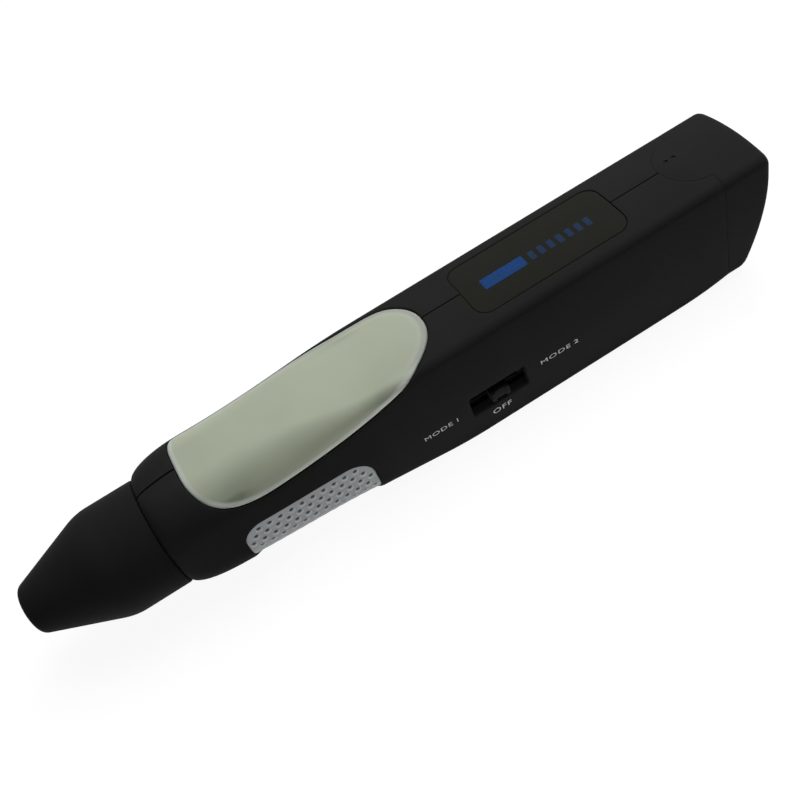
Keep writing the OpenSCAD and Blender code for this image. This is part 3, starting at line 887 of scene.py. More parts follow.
class Nodes:
    """Short way to write a tree of shader nodes."""

    def __init__(self, tree: bpy.types.NodeTree) -> None:
        """Starts on that tree."""
        self.tree = tree

    def add(self, kind: str, inputs: dict | None = None, **settings: object) -> bpy.types.Node:
        """Adds a node.

        Args:
            kind: Blender's name of the node type.
            inputs: Values or sockets for its inputs, by name or number.
            settings: Values for its own properties.

        Returns:
            The node.
        """
        node = self.tree.nodes.new(kind)
        for key, value in settings.items():
            setattr(node, key, value)
        for key, value in (inputs or {}).items():
            self.put(node.inputs[key], value)
        return node

    def put(self, socket: Socket, value: object) -> None:
        """Sets an input, or links it if the value is a socket.

        Args:
            socket: The input.
            value: A value or a socket.
        """
        if isinstance(value, Socket):
            self.tree.links.new(value, socket)
        else:
            socket.default_value = value

    def span(self, value: Socket, low: float, high: float, to_low: float = 0.0, to_high: float = 1.0,
             smooth: bool = False) -> Socket:
        """Maps a value from one range to another and limits it.

        Args:
            value: What is mapped.
            low: Start of its range.
            high: End of its range.
            to_low: Result at the start.
            to_high: Result at the end.
            smooth: Whether the ends are eased.

        Returns:
            The result's socket.
        """
        node = self.add("ShaderNodeMapRange", {0: value, 1: low, 2: high, 3: to_low, 4: to_high},
                        interpolation_type="SMOOTHSTEP" if smooth else "LINEAR")
        return node.outputs[0]

    def blend(self, share: Socket, a: object, b: object) -> Socket:
        """Mixes two colours, given as sockets or as three values.

        Args:
            share: Share of the second.
            a: First colour.
            b: Second colour.

        Returns:
            The result's socket.
        """
        node = self.add("ShaderNodeMix", {0: share}, data_type="RGBA")
        for number, color in ((6, a), (7, b)):
            self.put(node.inputs[number], color if isinstance(color, Socket) else (*color, 1.0))
        return node.outputs[2]

    def math(self, operation: str, a: object, b: object) -> Socket:
        """Calculates with two values."""
        return self.add("ShaderNodeMath", {0: a, 1: b}, operation=operation).outputs[0]

    def times(self, a: object, b: object) -> Socket:
        """Multiplies two values."""
        return self.math("MULTIPLY", a, b)

    def weigh(self, a: object, b: object, share: float) -> Socket:
        """Adds two values, with a share for the first and the rest for the second."""
        return self.math("ADD", self.times(a, share), self.times(b, 1 - share))

    def seen(self) -> Socket:
        """Tells rays that show the scene from soft light.

        Returns:
            1 for rays from the camera, from a gloss or through glass, and 0 for others.
        """
        path = self.add("ShaderNodeLightPath").outputs
        shine = self.math("MAXIMUM", path["Is Camera Ray"], path["Is Glossy Ray"])
        return self.math("MAXIMUM", shine, path["Is Transmission Ray"])


class MaterialNodes(Nodes):
    """Nodes of a material with one shader."""

    def __init__(self, name: str) -> None:
        """Starts a material of that name with a shader and an output.

        Args:
            name: Name of the material.
        """
        self.material = bpy.data.materials.new(name)
        self.material.use_nodes = True
        super().__init__(self.material.node_tree)
        self.shader = next(n for n in self.tree.nodes if n.type == "BSDF_PRINCIPLED")
        self.place = self.add("ShaderNodeTexCoord").outputs["Object"]

    def set(self, **values: object) -> None:
        """Sets inputs of the shader, with underscores for spaces in their names."""
        for key, value in values.items():
            self.put(self.shader.inputs[key.replace("_", " ")], value)

    def noise(self, scale: float, detail: float = 2.0, place: Socket | None = None) -> Socket:
        """A noise value over the object, with its scale in features per metre."""
        inputs = {"Vector": place or self.place, "Scale": scale, "Detail": detail}
        return self.add("ShaderNodeTexNoise", inputs).outputs["Fac"]

    def stored(self, name: str) -> Socket:
        """A value that is stored on the mesh's points."""
        return self.add("ShaderNodeAttribute", attribute_name=name).outputs["Fac"]

    def mottle(self, value: Socket, color: Color, dark: float) -> Socket:
        """A colour that a noise value darkens in places, down to a share of it."""
        return self.blend(self.span(value, *NARROW_SPAN), scaled(color, dark), color)

    def rough(self, value: Socket, low: float, high: float) -> None:
        """Varies the shader's roughness over a noise value."""
        self.set(Roughness=self.span(value, *WIDE_SPAN, low, high))

    def bump(self, height: Socket, strength: float, distance: float) -> None:
        """Gives the shader a bump, with its distance in metres."""
        node = self.add("ShaderNodeBump", {"Height": height, "Strength": strength, "Distance": distance})
        self.set(Normal=node.outputs["Normal"])


@dataclass(frozen=True)
class Finish:
    """A finish that can make its material once."""

    name: str
    color: Color = (0.5, 0.5, 0.5)

    @lru_cache(maxsize=None)
    def material(self) -> bpy.types.Material:
        """The finish's material, made on first use.

        Returns:
            The material.
        """
        nodes = MaterialNodes(self.name)
        self.paint(nodes)
        return nodes.material

    def paint(self, nodes: MaterialNodes) -> None:
        """Builds the nodes."""
        raise NotImplementedError


@dataclass(frozen=True)
class MoldedPlastic(Finish):
    """Matte moulded plastic with a fine eroded grain and faint cloudiness."""

    dark: float = 0.82
    roughness: float = 0.65
    swing: float = 0.06
    specular: float = 0.012
    cloud: float = 70.0
    cloud_share: float = 0.6
    grain: float = 2600.0
    grain_depth: float = 0.00003
    grain_strength: float = 0.16

    def paint(self, nodes: MaterialNodes) -> None:
        """Builds the nodes.

        Args:
            nodes: Where they go.
        """
        speck = nodes.noise(self.grain)
        both = nodes.weigh(nodes.noise(self.cloud, FINE), speck, self.cloud_share)
        nodes.set(Base_Color=nodes.mottle(both, self.color, self.dark), Specular_IOR_Level=self.specular)
        nodes.rough(both, self.roughness - self.swing, self.roughness + self.swing)
        nodes.bump(speck, self.grain_strength, self.grain_depth)


@dataclass(frozen=True)
class MilkyWindow(Finish):
    """Milky light-diffusing plastic: a grey rim, a pale rim of painted light where light gathers in the edge,
    a near flank painted lighter, and patches of painted shade where no reflector lies behind it.
    """

    rim: Color = (0.315, 0.33, 0.295)
    # Pale rim of painted light, where light gathers in the edge on the near flank and at the front end.
    painted_light_rim: Color = (0.66, 0.7, 0.64)
    rim_span: Pair = (1.0, 1.8)
    rim_share: float = 0.9
    line: Color = (0.43, 0.455, 0.4)
    line_span: Pair = (2.1, 2.9)
    line_share: float = 0.55
    line_pale: float = 0.4
    # Colour that the patches of painted shade darken towards.
    shade: Color = (0.12, 0.14, 0.11)
    shade_least: float = 0.55
    # How much lighter the near flank is painted, to lift the shade that falls on it.
    flank_painted_light: float = 1.22
    cloud: float = 46.0
    cloud_tones: Pair = (0.95, 1.04)
    patch: float = 120.0
    grain: float = 900.0
    roughness: Pair = (0.4, 0.5)
    specular: float = 0.08
    scatter: Color = (0.5, 0.55, 0.45)
    scatter_weight: float = 0.3
    scatter_scale: float = 0.002
    wave: float = 320.0
    wave_strength: float = 0.05
    wave_depth: float = 0.00006

    def paint(self, nodes: MaterialNodes) -> None:
        """Builds the nodes.

        Args:
            nodes: Where they go.
        """
        inward, painted_shade, flank, pale = (nodes.stored(name) for name in ("inward", "painted_shade", "flank", "pale"))
        low, high = (scaled(self.color, share) for share in self.cloud_tones)
        plain = nodes.blend(nodes.span(nodes.noise(self.cloud, FINE), *WIDE_SPAN), low, high)
        # Painted light: the near flank's colour is lifted.
        base = nodes.blend(flank, plain, scaled(self.color, self.flank_painted_light))
        patch = nodes.span(nodes.noise(self.patch, FINE), *NARROW_SPAN, self.shade_least, 1.0, True)
        # Painted shade: the stored patches, broken up by noise, darken the colour.
        body = nodes.blend(nodes.times(painted_shade, patch), base, self.shade)
        faint = nodes.times(nodes.span(pale, 0.0, self.line_pale, self.line_share, 0.0), patch)
        line = nodes.times(nodes.span(inward, *self.line_span, 1.0, 0.0, True), faint)
        edge = nodes.span(inward, *self.rim_span, self.rim_share, 0.0, True)
        # Painted light: the rim turns pale where the stored pale share is high.
        rim = nodes.blend(pale, self.rim, self.painted_light_rim)
        nodes.set(Base_Color=nodes.blend(edge, nodes.blend(line, body, self.line), rim))
        nodes.rough(nodes.noise(self.grain), *self.roughness)
        nodes.set(Specular_IOR_Level=self.specular, Subsurface_Weight=self.scatter_weight,
                  Subsurface_Scale=self.scatter_scale, Subsurface_Radius=self.scatter)
        nodes.bump(nodes.noise(self.wave), self.wave_strength, self.wave_depth)


@dataclass(frozen=True)
class SatinMetal(Finish):
    """Satin or bright metal with fine streaks."""

    metallic: float = 1.0
    roughness: float = 0.36
    swing: float = 0.07
    dark: float = 0.86
    streak: Triple = (1.0, 1.0, 1.0)
    grain: float = 900.0
    grain_strength: float = 0.08
    grain_depth: float = 0.00002
    cloud: float = 60.0
    cloud_share: float = 0.5
    specular: float = 0.5

    def paint(self, nodes: MaterialNodes) -> None:
        """Builds the nodes.

        Args:
            nodes: Where they go.
        """
        place = nodes.add("ShaderNodeMapping", {"Vector": nodes.place, "Scale": self.streak}).outputs[0]
        fine = nodes.noise(self.grain, FINE, place)
        both = nodes.weigh(nodes.noise(self.cloud, FINE), fine, self.cloud_share)
        nodes.set(Base_Color=nodes.mottle(both, self.color, self.dark))
        nodes.set(Metallic=self.metallic, Specular_IOR_Level=self.specular)
        nodes.rough(fine, self.roughness - self.swing, self.roughness + self.swing)
        nodes.bump(fine, self.grain_strength, self.grain_depth)


@dataclass(frozen=True)
class DimpledMetal(SatinMetal):
    """Satin metal, darker and not metallic in the middle of each dimple, with a painted highlight on the
    dimples' lips.
    """

    # How dark the middle of each dimple is made, as a share of the colour.
    dimple_dark: float = 0.16
    dimple_dark_span: Pair = (0.42, 0.9)
    # Painted highlight: how much lighter the lips of the dimples are painted.
    lip_highlight: float = 1.38
    lip_highlight_span: Pair = (0.0, 0.1)

    def paint(self, nodes: MaterialNodes) -> None:
        """Builds the nodes.

        Args:
            nodes: Where they go.
        """
        super().paint(nodes)
        clean = nodes.shader.inputs["Base Color"].links[0].from_socket
        deep = nodes.stored("hollow")
        # The colour darkens, and stops being metallic, towards the middle of each dimple.
        hollow = nodes.span(deep, *self.dimple_dark_span, 0.0, 1.0, True)
        # Painted highlight: the lips round the dimples are painted lighter.
        lit_lips = nodes.blend(nodes.span(deep, *self.lip_highlight_span), clean, scaled(self.color, self.lip_highlight))
        nodes.set(Base_Color=nodes.blend(hollow, lit_lips, scaled(self.color, self.dimple_dark)))
        nodes.set(Metallic=nodes.span(hollow, 0.0, 1.0, self.metallic, 0.0))


@dataclass(frozen=True)
class Ink(Finish):
    """Printed ink with a slightly uneven film."""

    dark: float = 0.8
    film: float = 1500.0
    roughness: Pair = (0.45, 0.58)
    specular: float = 0.02

    def paint(self, nodes: MaterialNodes) -> None:
        """Builds the nodes.

        Args:
            nodes: Where they go.
        """
        film = nodes.noise(self.film, FINE)
        nodes.set(Base_Color=nodes.mottle(film, self.color, self.dark), Specular_IOR_Level=self.specular)
        nodes.rough(film, *self.roughness)


@dataclass(frozen=True)
class BoardLaminate(Finish):
    """Circuit board: solder mask over a glass weave with copper tracks showing through."""

    track: Color = (0.05, 0.2, 0.08)
    track_scale: float = 260.0
    track_width: float = 0.12
    roughness: Pair = (0.3, 0.45)
    weave: float = 2200.0
    weave_strength: float = 0.1
    weave_depth: float = 0.00002

    def paint(self, nodes: MaterialNodes) -> None:
        """Builds the nodes.

        Args:
            nodes: Where they go.
        """
        tracks = nodes.add("ShaderNodeTexBrick", {"Vector": nodes.place, "Scale": self.track_scale,
                                                  "Mortar Size": self.track_width})
        weave = nodes.noise(self.weave)
        nodes.set(Base_Color=nodes.blend(tracks.outputs["Fac"], self.color, self.track))
        nodes.rough(weave, *self.roughness)
        nodes.bump(weave, self.weave_strength, self.weave_depth)


@dataclass(frozen=True)
class ClearResin(Finish):
    """Tinted clear lens of a lamp."""

    dark: float = 0.85
    flow: float = 500.0
    roughness: Pair = (0.08, 0.14)
    clear: float = 0.55
    refraction: float = 1.5

    def paint(self, nodes: MaterialNodes) -> None:
        """Builds the nodes.

        Args:
            nodes: Where they go.
        """
        flow = nodes.noise(self.flow)
        nodes.set(Base_Color=nodes.mottle(flow, self.color, self.dark))
        nodes.rough(flow, *self.roughness)
        nodes.set(Transmission_Weight=self.clear, IOR=self.refraction)


SHELL_BLACK = MoldedPlastic("shell_soft_black", (0.0178, 0.0187, 0.0176))
# The shell's black painted darker for the nose cap: painted shade for the weaker light at the front.
CAP_SHADED_BLACK = MoldedPlastic("cap_black_painted_shade", (0.0146, 0.0148, 0.0146))
WINDOW_MILK = MilkyWindow("window_milk", (0.385, 0.422, 0.325))
PAD_SILVER = DimpledMetal("pad_satin_silver", (0.283, 0.295, 0.302), metallic=0.6, roughness=0.45,
                          specular=0.3)
PLATE_DARK = MoldedPlastic("plate_olive_black", (0.0175, 0.0178, 0.0148), roughness=0.55, grain=1800.0)
BLUE_INK = Ink("plate_blue_ink", (0.0125, 0.052, 0.175))
DIM_INK = Ink("plate_dim_blue_ink", (0.016, 0.033, 0.075))
WHITE_INK = Ink("legend_white_ink", (0.6, 0.6, 0.59))
KNOB_GREY = MoldedPlastic("knob_soft_grey", (0.02, 0.0202, 0.02), roughness=0.6, specular=0.012)
HOLDER_BLACK = MoldedPlastic("holder_satin_black", (0.011, 0.011, 0.0115), roughness=0.5, specular=0.06)
PROBE_METAL = SatinMetal("probe_plated", (0.62, 0.58, 0.48), roughness=0.26, streak=(1.0, 6.0, 6.0))
SPRING_STEEL = SatinMetal("spring_wire", (0.55, 0.55, 0.57), roughness=0.3)
CONTACT_BRASS = SatinMetal("contact_bare_brass", (0.6, 0.42, 0.16), roughness=0.33)
SWITCH_STEEL = SatinMetal("switch_dark_frame", (0.03, 0.03, 0.031), roughness=0.5, metallic=0.2)
SCREW_STEEL = SatinMetal("screw_zinc", (0.36, 0.37, 0.39), roughness=0.34)
WIRE_BLUE = MoldedPlastic("wire_blue_sleeve", (0.04, 0.16, 0.43), roughness=0.4, specular=0.4)
WIRE_RED = MoldedPlastic("wire_red_sleeve", (0.37, 0.04, 0.03), roughness=0.4, specular=0.4)
LAMP_VIOLET = ClearResin("lamp_violet_lens", (0.42, 0.38, 0.75))
LED_GREEN = ClearResin("led_green_lens", (0.2, 0.5, 0.14))
BOARD_GREEN = BoardLaminate("board_green_mask", (0.02, 0.12, 0.045))
WHITE_TRAY = MoldedPlastic("tray_white", (0.8, 0.8, 0.77), dark=0.95, roughness=0.3, specular=0.5)
CHIP_BLACK = MoldedPlastic("chip_black_resin", (0.016, 0.016, 0.018), roughness=0.5, specular=0.4)
BATTERY_WRAP = SatinMetal("battery_wrap", (0.035, 0.045, 0.05), metallic=0.2, roughness=0.4, specular=0.2)
SNAP_BLACK = MoldedPlastic("snap_black_vinyl", (0.012, 0.012, 0.013), roughness=0.5, specular=0.4)


# Sub-assemblies


@dataclass
class Housing:
    """The two half shells of the body."""

    wall: float = 2.2
    front_wall: float = 3.0
    front_step: float = 0.05
    spigot_bore: float = 11.05
    seam_gap: float = 0.135
    seam_open: float = 0.085
    seam_start: float = WINDOW.x0 + 2.0
    seam_run: float = 6.0
    seam_edge: float = 0.1
    seam_depth: float = 0.6
    rear_edge: float = 0.06
    window_edge: float = 0.3
    pad_edge: float = 0.4
    plate_edge: float = 0.1
    tongue_edge: float = 0.05
    slot_edge: float = 0.4
    hole_edge: float = 0.2
    hole_rim: float = 0.3
    window_depth: float = 2.05
    pad_depth: float = 1.75
    plate_depth: float = 0.85
    tongue_depth: float = 1.35
    boss: float = 1.2
    seat_wall: float = 1.5
    pitch: float = 1.7
    counts: tuple[int, ...] = (9, 11, 11, 11, 4)
    shoulder_points: int = 15
    seam_points: int = 420
    rear_points: int = 60
    window_points: int = 190
    pad_points: int = 170
    plate_points: int = 130
    tongue_points: int = 48
    slot_points: int = 110
    hole_points: int = 44
    seam_room: float = 0.5
    rear_room: float = 0.6
    line_middle: float = 0.1
    line_room: float = 0.55

    def stations(self) -> Array:
        """Stations of the loose points, close together on the shoulder.

        Returns:
            Stations in order.
        """
        bend = np.linspace(0, np.pi / 2, self.shoulder_points)
        shoulder = SKIN.collar + SKIN.shoulder_length * (1 - np.cos(bend))
        front = SKIN.collar + self.front_wall
        first = SKIN.collar + SKIN.shoulder_length + self.pitch
        rest = np.arange(first, SKIN.part_x - self.rear_room, self.pitch)
        return np.unique(np.concatenate([shoulder, [front, front + self.front_step], rest]))

    def seam(self, x: Array) -> Array:
        """Half the width of the seam, which is a little wider before the window than behind it."""
        return self.seam_gap + self.seam_open * (1 - ease((x - self.seam_start) / self.seam_run))

    def inlay_gaps(self, x: Array, s: Array, side: Side) -> list[Array]:
        """Distances outside the window's, the pad's, the plate's and the tongue's place."""
        return [WINDOW.gap(x, side.value * s) - INLAY_GAP, PAD.gap(x, s) - INLAY_GAP,
                PLATE.gap(x, s) - INLAY_GAP, TONGUE.gap(x, s) - SHUT_GAP]

    def depth(self, x: Array, s: Array, side: Side) -> Array:
        """Depth of the outside below the plain skin.

        Args:
            x: Stations.
            s: Arc lengths from the top seam.
            side: Side of the body.

        Returns:
            Depths.
        """
        made = np.maximum.reduce([pocket(s - self.seam(x), self.seam_edge, self.seam_depth),
                                  pocket(SKIN.end(x) - s - self.seam_gap, self.seam_edge, self.seam_depth),
                                  fillet(SKIN.part_x - x, self.rear_edge)])
        edges = (self.window_edge, self.pad_edge, self.plate_edge, self.tongue_edge)
        floors = (self.window_depth, self.pad_depth, self.plate_depth, self.tongue_depth)
        for gap, edge, floor in zip(self.inlay_gaps(x, s, side), edges, floors):
            let_in = pocket(gap, edge, floor)
            made = np.where(gap < EDGE_SAFE / 2, let_in, np.maximum(made, let_in))
        if side is Side.NEAR:
            made = np.maximum(made, fillet(SLOT.gap(x, s), self.slot_edge))
        return made

    def loose(self, side: Side) -> Array:
        """Loose points that keep clear of every line.

        Args:
            side: Side of the body.

        Returns:
            Rows of station and arc.
        """
        points = np.vstack([at_station(x, SKIN.arcs(x, self.counts)[1:-1]) for x in self.stations()])
        x, s = points.T
        clear = (s > self.seam_room) & (SKIN.end(x) - s > self.seam_room) & (x > SKIN.collar + TINY)
        openings = [SLOT] if side is Side.NEAR else SCREWS
        for gap in self.inlay_gaps(x, s, side) + [opening.gap(x, s) for opening in openings]:
            clear &= np.abs(gap - self.line_middle) > self.line_room
        return points[clear]

    def add_lines(self, sheet: SkinSheet, side: Side) -> None:
        """Adds the lines of the seams, the ends, the let-in places and the openings.

        Args:
            sheet: Where they go.
            side: Side of the body.
        """
        xs = np.linspace(SKIN.collar, SKIN.part_x, self.seam_points)
        for share, grow in [(0.0, 0.0)] + [(1.0, g) for g in pocket_grows(self.seam_edge)]:
            sheet.add_line(np.stack([xs, share * self.seam(xs) + grow], 1))
            sheet.add_line(np.stack([xs, SKIN.end(xs) - share * self.seam_gap - grow], 1))
        for offset in [0.0] + fillet_offsets(self.rear_edge):
            rear = SKIN.part_x - offset
            sheet.add_line(at_station(rear, np.linspace(0, 1, self.rear_points) * SKIN.end(rear)))
        sheet.add_line(at_station(SKIN.collar, SKIN.arcs(SKIN.collar, self.counts)))
        for grow in pocket_grows(self.window_edge):
            sheet.add_line(WINDOW.line(INLAY_GAP + grow, self.window_points, side))
        for grow in pocket_grows(self.pad_edge):
            sheet.add_line(PAD.line(INLAY_GAP + grow, self.pad_points), True)
        for grow in pocket_grows(self.plate_edge):
            sheet.add_line(PLATE.upper_line(INLAY_GAP + grow, self.plate_points))
        for grow in pocket_grows(self.tongue_edge):
            sheet.add_line(TONGUE.line(SHUT_GAP + grow, self.tongue_points))
        if side is Side.NEAR:
            for grow in fillet_offsets(self.slot_edge) + [0.0]:
                sheet.add_line(SLOT.line(grow, self.slot_points), True)
            return
        for hole in SCREWS:
            for grow in pocket_grows(self.hole_edge) + [self.boss]:
                sheet.add_line(hole.line(grow, self.hole_points), True)

    def sheet(self, side: Side) -> tuple[Array, Array]:
        """Triangles of one half on the skin.

        Args:
            side: Side of the body.

        Returns:
            Points as rows of station and arc, and triangles.
        """
        sheet = SkinSheet()
        sheet.add_points(self.loose(side))
        self.add_lines(sheet, side)

        def keep(x: Array, s: Array) -> Array:
            """Middles inside the half and outside the slot."""
            inside = (s > 0) & (s < SKIN.end(x)) & (x > SKIN.collar) & (x < SKIN.part_x)
            return inside & (SLOT.gap(x, s) > 0) if side is Side.NEAR else inside

        return sheet.triangles(keep)

    def build(self, side: Side) -> Object:
        """Makes one half shell as a closed solid.

        Args:
            side: Side of the body.

        Returns:
            The piece.
        """
        p, tris = self.sheet(side)
        x, s = p.T
        outer = SKIN.point(x, side.value * s, self.depth(x, s, side))
        y, z = SKIN.section(x, s)
        bored = np.hypot(y, z - SKIN.axis_z) - self.spigot_bore
        room = np.where(x <= SKIN.collar + self.front_wall + TINY, bored, self.wall)
        inner = SKIN.point(x, side.value * s, room)
        for hole in SCREWS if side is Side.FAR else ():
            gap = hole.gap(x, s)
            wall = clamp01((EDGE_SAFE / 2 - gap) / WALL_WIDTH)
            outer[:, 1] = np.where(gap < EDGE_SAFE / 2, mix(outer[:, 1], hole.seat, wall), outer[:, 1])
            rim = (gap > EDGE_SAFE / 2) & (gap < self.hole_rim)
            outer = np.where(rim[:, None], SKIN.point(x, s, fillet(gap, self.hole_edge)), outer)
            post = np.minimum(inner[:, 1], hole.seat - self.seat_wall)
            inner[:, 1] = np.where(gap < self.boss - TINY, post, inner[:, 1])
        data = MeshData()
        data.add_solid(p, tris, outer, inner, side is Side.NEAR)
        return data.to_object(f"shell_{side.name.lower()}")

    def dress(self) -> None:
        """Builds and finishes both halves."""
        for side, node in ((Side.FAR, "housing_left"), (Side.NEAR, "housing_right")):
            dress(self.build(side), SHELL_BLACK, Carrier.BODY, [node])


@dataclass(frozen=True)
class ShadePatch:
    """A patch of painted shade on the window, in millimetres."""

    x: float
    arc: float
    length: float
    width: float
    amount: float

    def shade(self, x: Array, s: Array) -> Array:
        """Share of painted shade at each point."""
        return self.amount * np.exp(-(((x - self.x) / self.length) ** 2) - ((s - self.arc) / self.width) ** 2)


@dataclass
class WindowPanel:
    """The milky indicator window."""

    edge: float = 0.7
    edge_steps: int = 8
    thickness: float = 1.95
    ring_points: int = 220
    rings: int = 26
    least_ring: float = 0.02
    heart: Pair = (WINDOW.xm, -3.5)
    # Patches of painted shade, which stand in for shadows inside the window.
    shade_patches: tuple[ShadePatch, ...] = (
        ShadePatch(51.8, -14.9, 5.5, 1.7, 0.95), ShadePatch(53.5, -13.0, 8.0, 3.0, 0.3),
        ShadePatch(92.2, -12.3, 3.6, 1.6, 0.72), ShadePatch(90.0, 9.0, 6.0, 1.8, 0.4))
    flank_arc: float = 8.5
    flank_run: float = 6.0
    # Over this run the front end's rim is painted pale with light.
    front_start: float = WINDOW.x0 + 1.5
    front_run: float = 5.0
    front_pale: float = 0.42
    arc_reach: float = 26.0
    arc_steps: int = 120

    def ring(self, grow: float) -> Array:
        """Closed outline on the skin, grown outwards.

        Args:
            grow: How far outwards.

        Returns:
            Rows of station and arc.
        """
        count = self.ring_points // 2 + 1
        far, near = WINDOW.line(grow, count, Side.FAR), WINDOW.line(grow, count, Side.NEAR)
        return np.vstack([far, (near * np.array([1, -1]))[-2:0:-1]])

    def build(self) -> Object:
        """Makes the window as a closed solid.

        Returns:
            The piece.
        """
        lines = [(self.ring(-self.edge * (1 - math.cos(t))), self.edge * (1 - math.sin(t)))
                 for t in np.linspace(0, np.pi / 2, self.edge_steps)]
        inner, middle = self.ring(-self.edge), np.array(self.heart)
        shares = np.linspace(1, self.least_ring, self.rings)[1:]
        lines += [(middle + (inner - middle) * share, 0.0) for share in shares]
        over = [SKIN.point(*ring.T, depth) for ring, depth in lines]
        under = [SKIN.point(*ring.T, self.thickness) for ring, _ in lines[self.edge_steps :]]
        data = MeshData()
        data.add_rings(under[::-1] + [SKIN.point(*self.ring(0).T, self.thickness)] + over)
        return data.to_object("window_panel")

    def store_places(self, obj: Object) -> None:
        """Stores for the finish how far inside the rim each point lies, its share of painted shade, how far
        it lies on the near flank that is painted lighter, and how pale its rim is painted.

        Args:
            obj: The window.
        """
        seat = np.array([v.co for v in obj.data.vertices]) / MM + ORIGIN
        x, arcs = seat[:, 0], self.arcs_of(seat)
        # The near flank, whose colour is painted lighter and whose rim is painted pale.
        flank = ease((-arcs - self.flank_arc) / self.flank_run)
        front = self.front_pale * (1 - ease((x - self.front_start) / self.front_run))
        store(obj, "inward", -WINDOW.gap(x, arcs))
        # Share of painted shade at each point.
        store(obj, "painted_shade", np.maximum.reduce([painted_shade.shade(x, arcs) for painted_shade in self.shade_patches]))
        store(obj, "flank", flank)
        # Share of the pale rim of painted light: the near flank and the front end.
        store(obj, "pale", np.maximum(flank, front))

    def arcs_of(self, seat: Array) -> Array:
        """Arc lengths of points near the skin, from their direction about the nose axis.

        Args:
            seat: Points as rows, in millimetres.

        Returns:
            Arc lengths, negative on the near side.
        """
        made = np.zeros(len(seat))
        arcs = np.linspace(0, self.arc_reach, self.arc_steps)
        for i, (x, y, z) in enumerate(seat):
            py, pz = SKIN.section(np.full(self.arc_steps, x), arcs)
            arc = np.interp(math.atan2(abs(y), z - SKIN.axis_z), np.arctan2(py, pz - SKIN.axis_z), arcs)
            made[i] = math.copysign(arc, y)
        return made

    def dress(self) -> None:
        """Builds and finishes the window."""
        panel = self.build()
        self.store_places(panel)
        dress(panel, WINDOW_MILK, Carrier.BODY, ["window"])


@dataclass
class FingerPads:
    """The two dimpled finger pads."""

    face: float = 0.5
    thickness: float = 1.2
    edge: float = 0.4
    edge_points: int = 200
    pitch: float = 2.8
    row: float = 2.8 * 0.74
    rows: int = 3
    columns: int = 7
    dimple: float = 0.94
    dimple_depth: float = 0.55
    dimple_points: int = 20
    dimple_rings: tuple[float, ...] = (1.0, 0.88, 0.72, 0.55, 0.35, 0.15)
    dimple_room: float = 0.15
    loose_reach: Pair = (17.5, 11.0)
    loose_pitch: float = 0.7
    edge_room: float = 0.3
    ring_room: float = 0.25
    sharp: float = 50.0

    def dimples(self) -> list[Pair]:
        """Middles of the staggered dimples as station and arc.

        Returns:
            Pairs of station and arc.
        """
        made = []
        for r in range(-self.rows, self.rows + 1):
            for c in range(-self.columns, self.columns + 1):
                x = PAD.x + self.pitch * (c + (abs(r) % 2) / 2)
                s = float(PAD.middle(x)) + r * self.row
                if float(PAD.gap(np.array(x), np.array(s))) < -self.dimple - self.dimple_room:
                    made.append((x, s))
        return made

    def sheet(self, spots: Sequence[Pair]) -> tuple[Array, Array]:
        """Triangles of a pad on the skin.

        Args:
            spots: Middles of the dimples.

        Returns:
            Points as rows of station and arc, and triangles.
        """
        sheet = SkinSheet()
        for grow in [-offset for offset in fillet_offsets(self.edge)] + [0.0]:
            sheet.add_line(PAD.line(grow, self.edge_points), True)
        for x, s in spots:
            for share in self.dimple_rings:
                sheet.add_line(circle(x, s, self.dimple * share, self.dimple_points), True)
            sheet.add_points(np.array([[x, s]]))
        xs, arcs = (np.arange(-reach, reach, self.loose_pitch) for reach in self.loose_reach)
        loose = grid(xs, arcs) + np.array([PAD.x, PAD.arc])
        clear = PAD.gap(*loose.T) < -self.edge - self.edge_room
        for x, s in spots:
            clear &= np.hypot(loose[:, 0] - x, loose[:, 1] - s) > self.dimple + self.ring_room
        sheet.add_points(loose[clear])
        return sheet.triangles(lambda x, s: PAD.gap(x, s) < 0)

    def build(self, side: Side) -> Object:
        """Makes one pad as a closed solid, with the depth of its dimples stored for the finish.

        Args:
            side: Side of the body.

        Returns:
            The piece.
        """
        spots = self.dimples()
        p, tris = self.sheet(spots)
        x, s = p.T
        hollow = np.zeros(len(x))
        for cx, cs in spots:
            u = np.minimum(np.hypot(x - cx, s - cs) / self.dimple, 1.0)
            hollow = np.maximum(hollow, 1 - u * u)
        depth = self.face + fillet(-PAD.gap(x, s), self.edge)
        outer = SKIN.point(x, side.value * s, depth + self.dimple_depth * hollow)
        inner = SKIN.point(x, side.value * s, self.face + self.thickness)
        data = MeshData()
        data.add_solid(p, tris, outer, inner, side is Side.NEAR)
        obj = data.to_object(f"finger_pad_{side.name.lower()}", self.sharp)
        store(obj, "hollow", np.concatenate([hollow, np.zeros(len(x))]))
        return obj

    def dress(self) -> None:
        """Builds and finishes both pads."""
        for side, node in ((Side.FAR, "grip_pad_left"), (Side.NEAR, "grip_pad_right")):
            dress(self.build(side), PAD_SILVER, Carrier.BODY, [node])


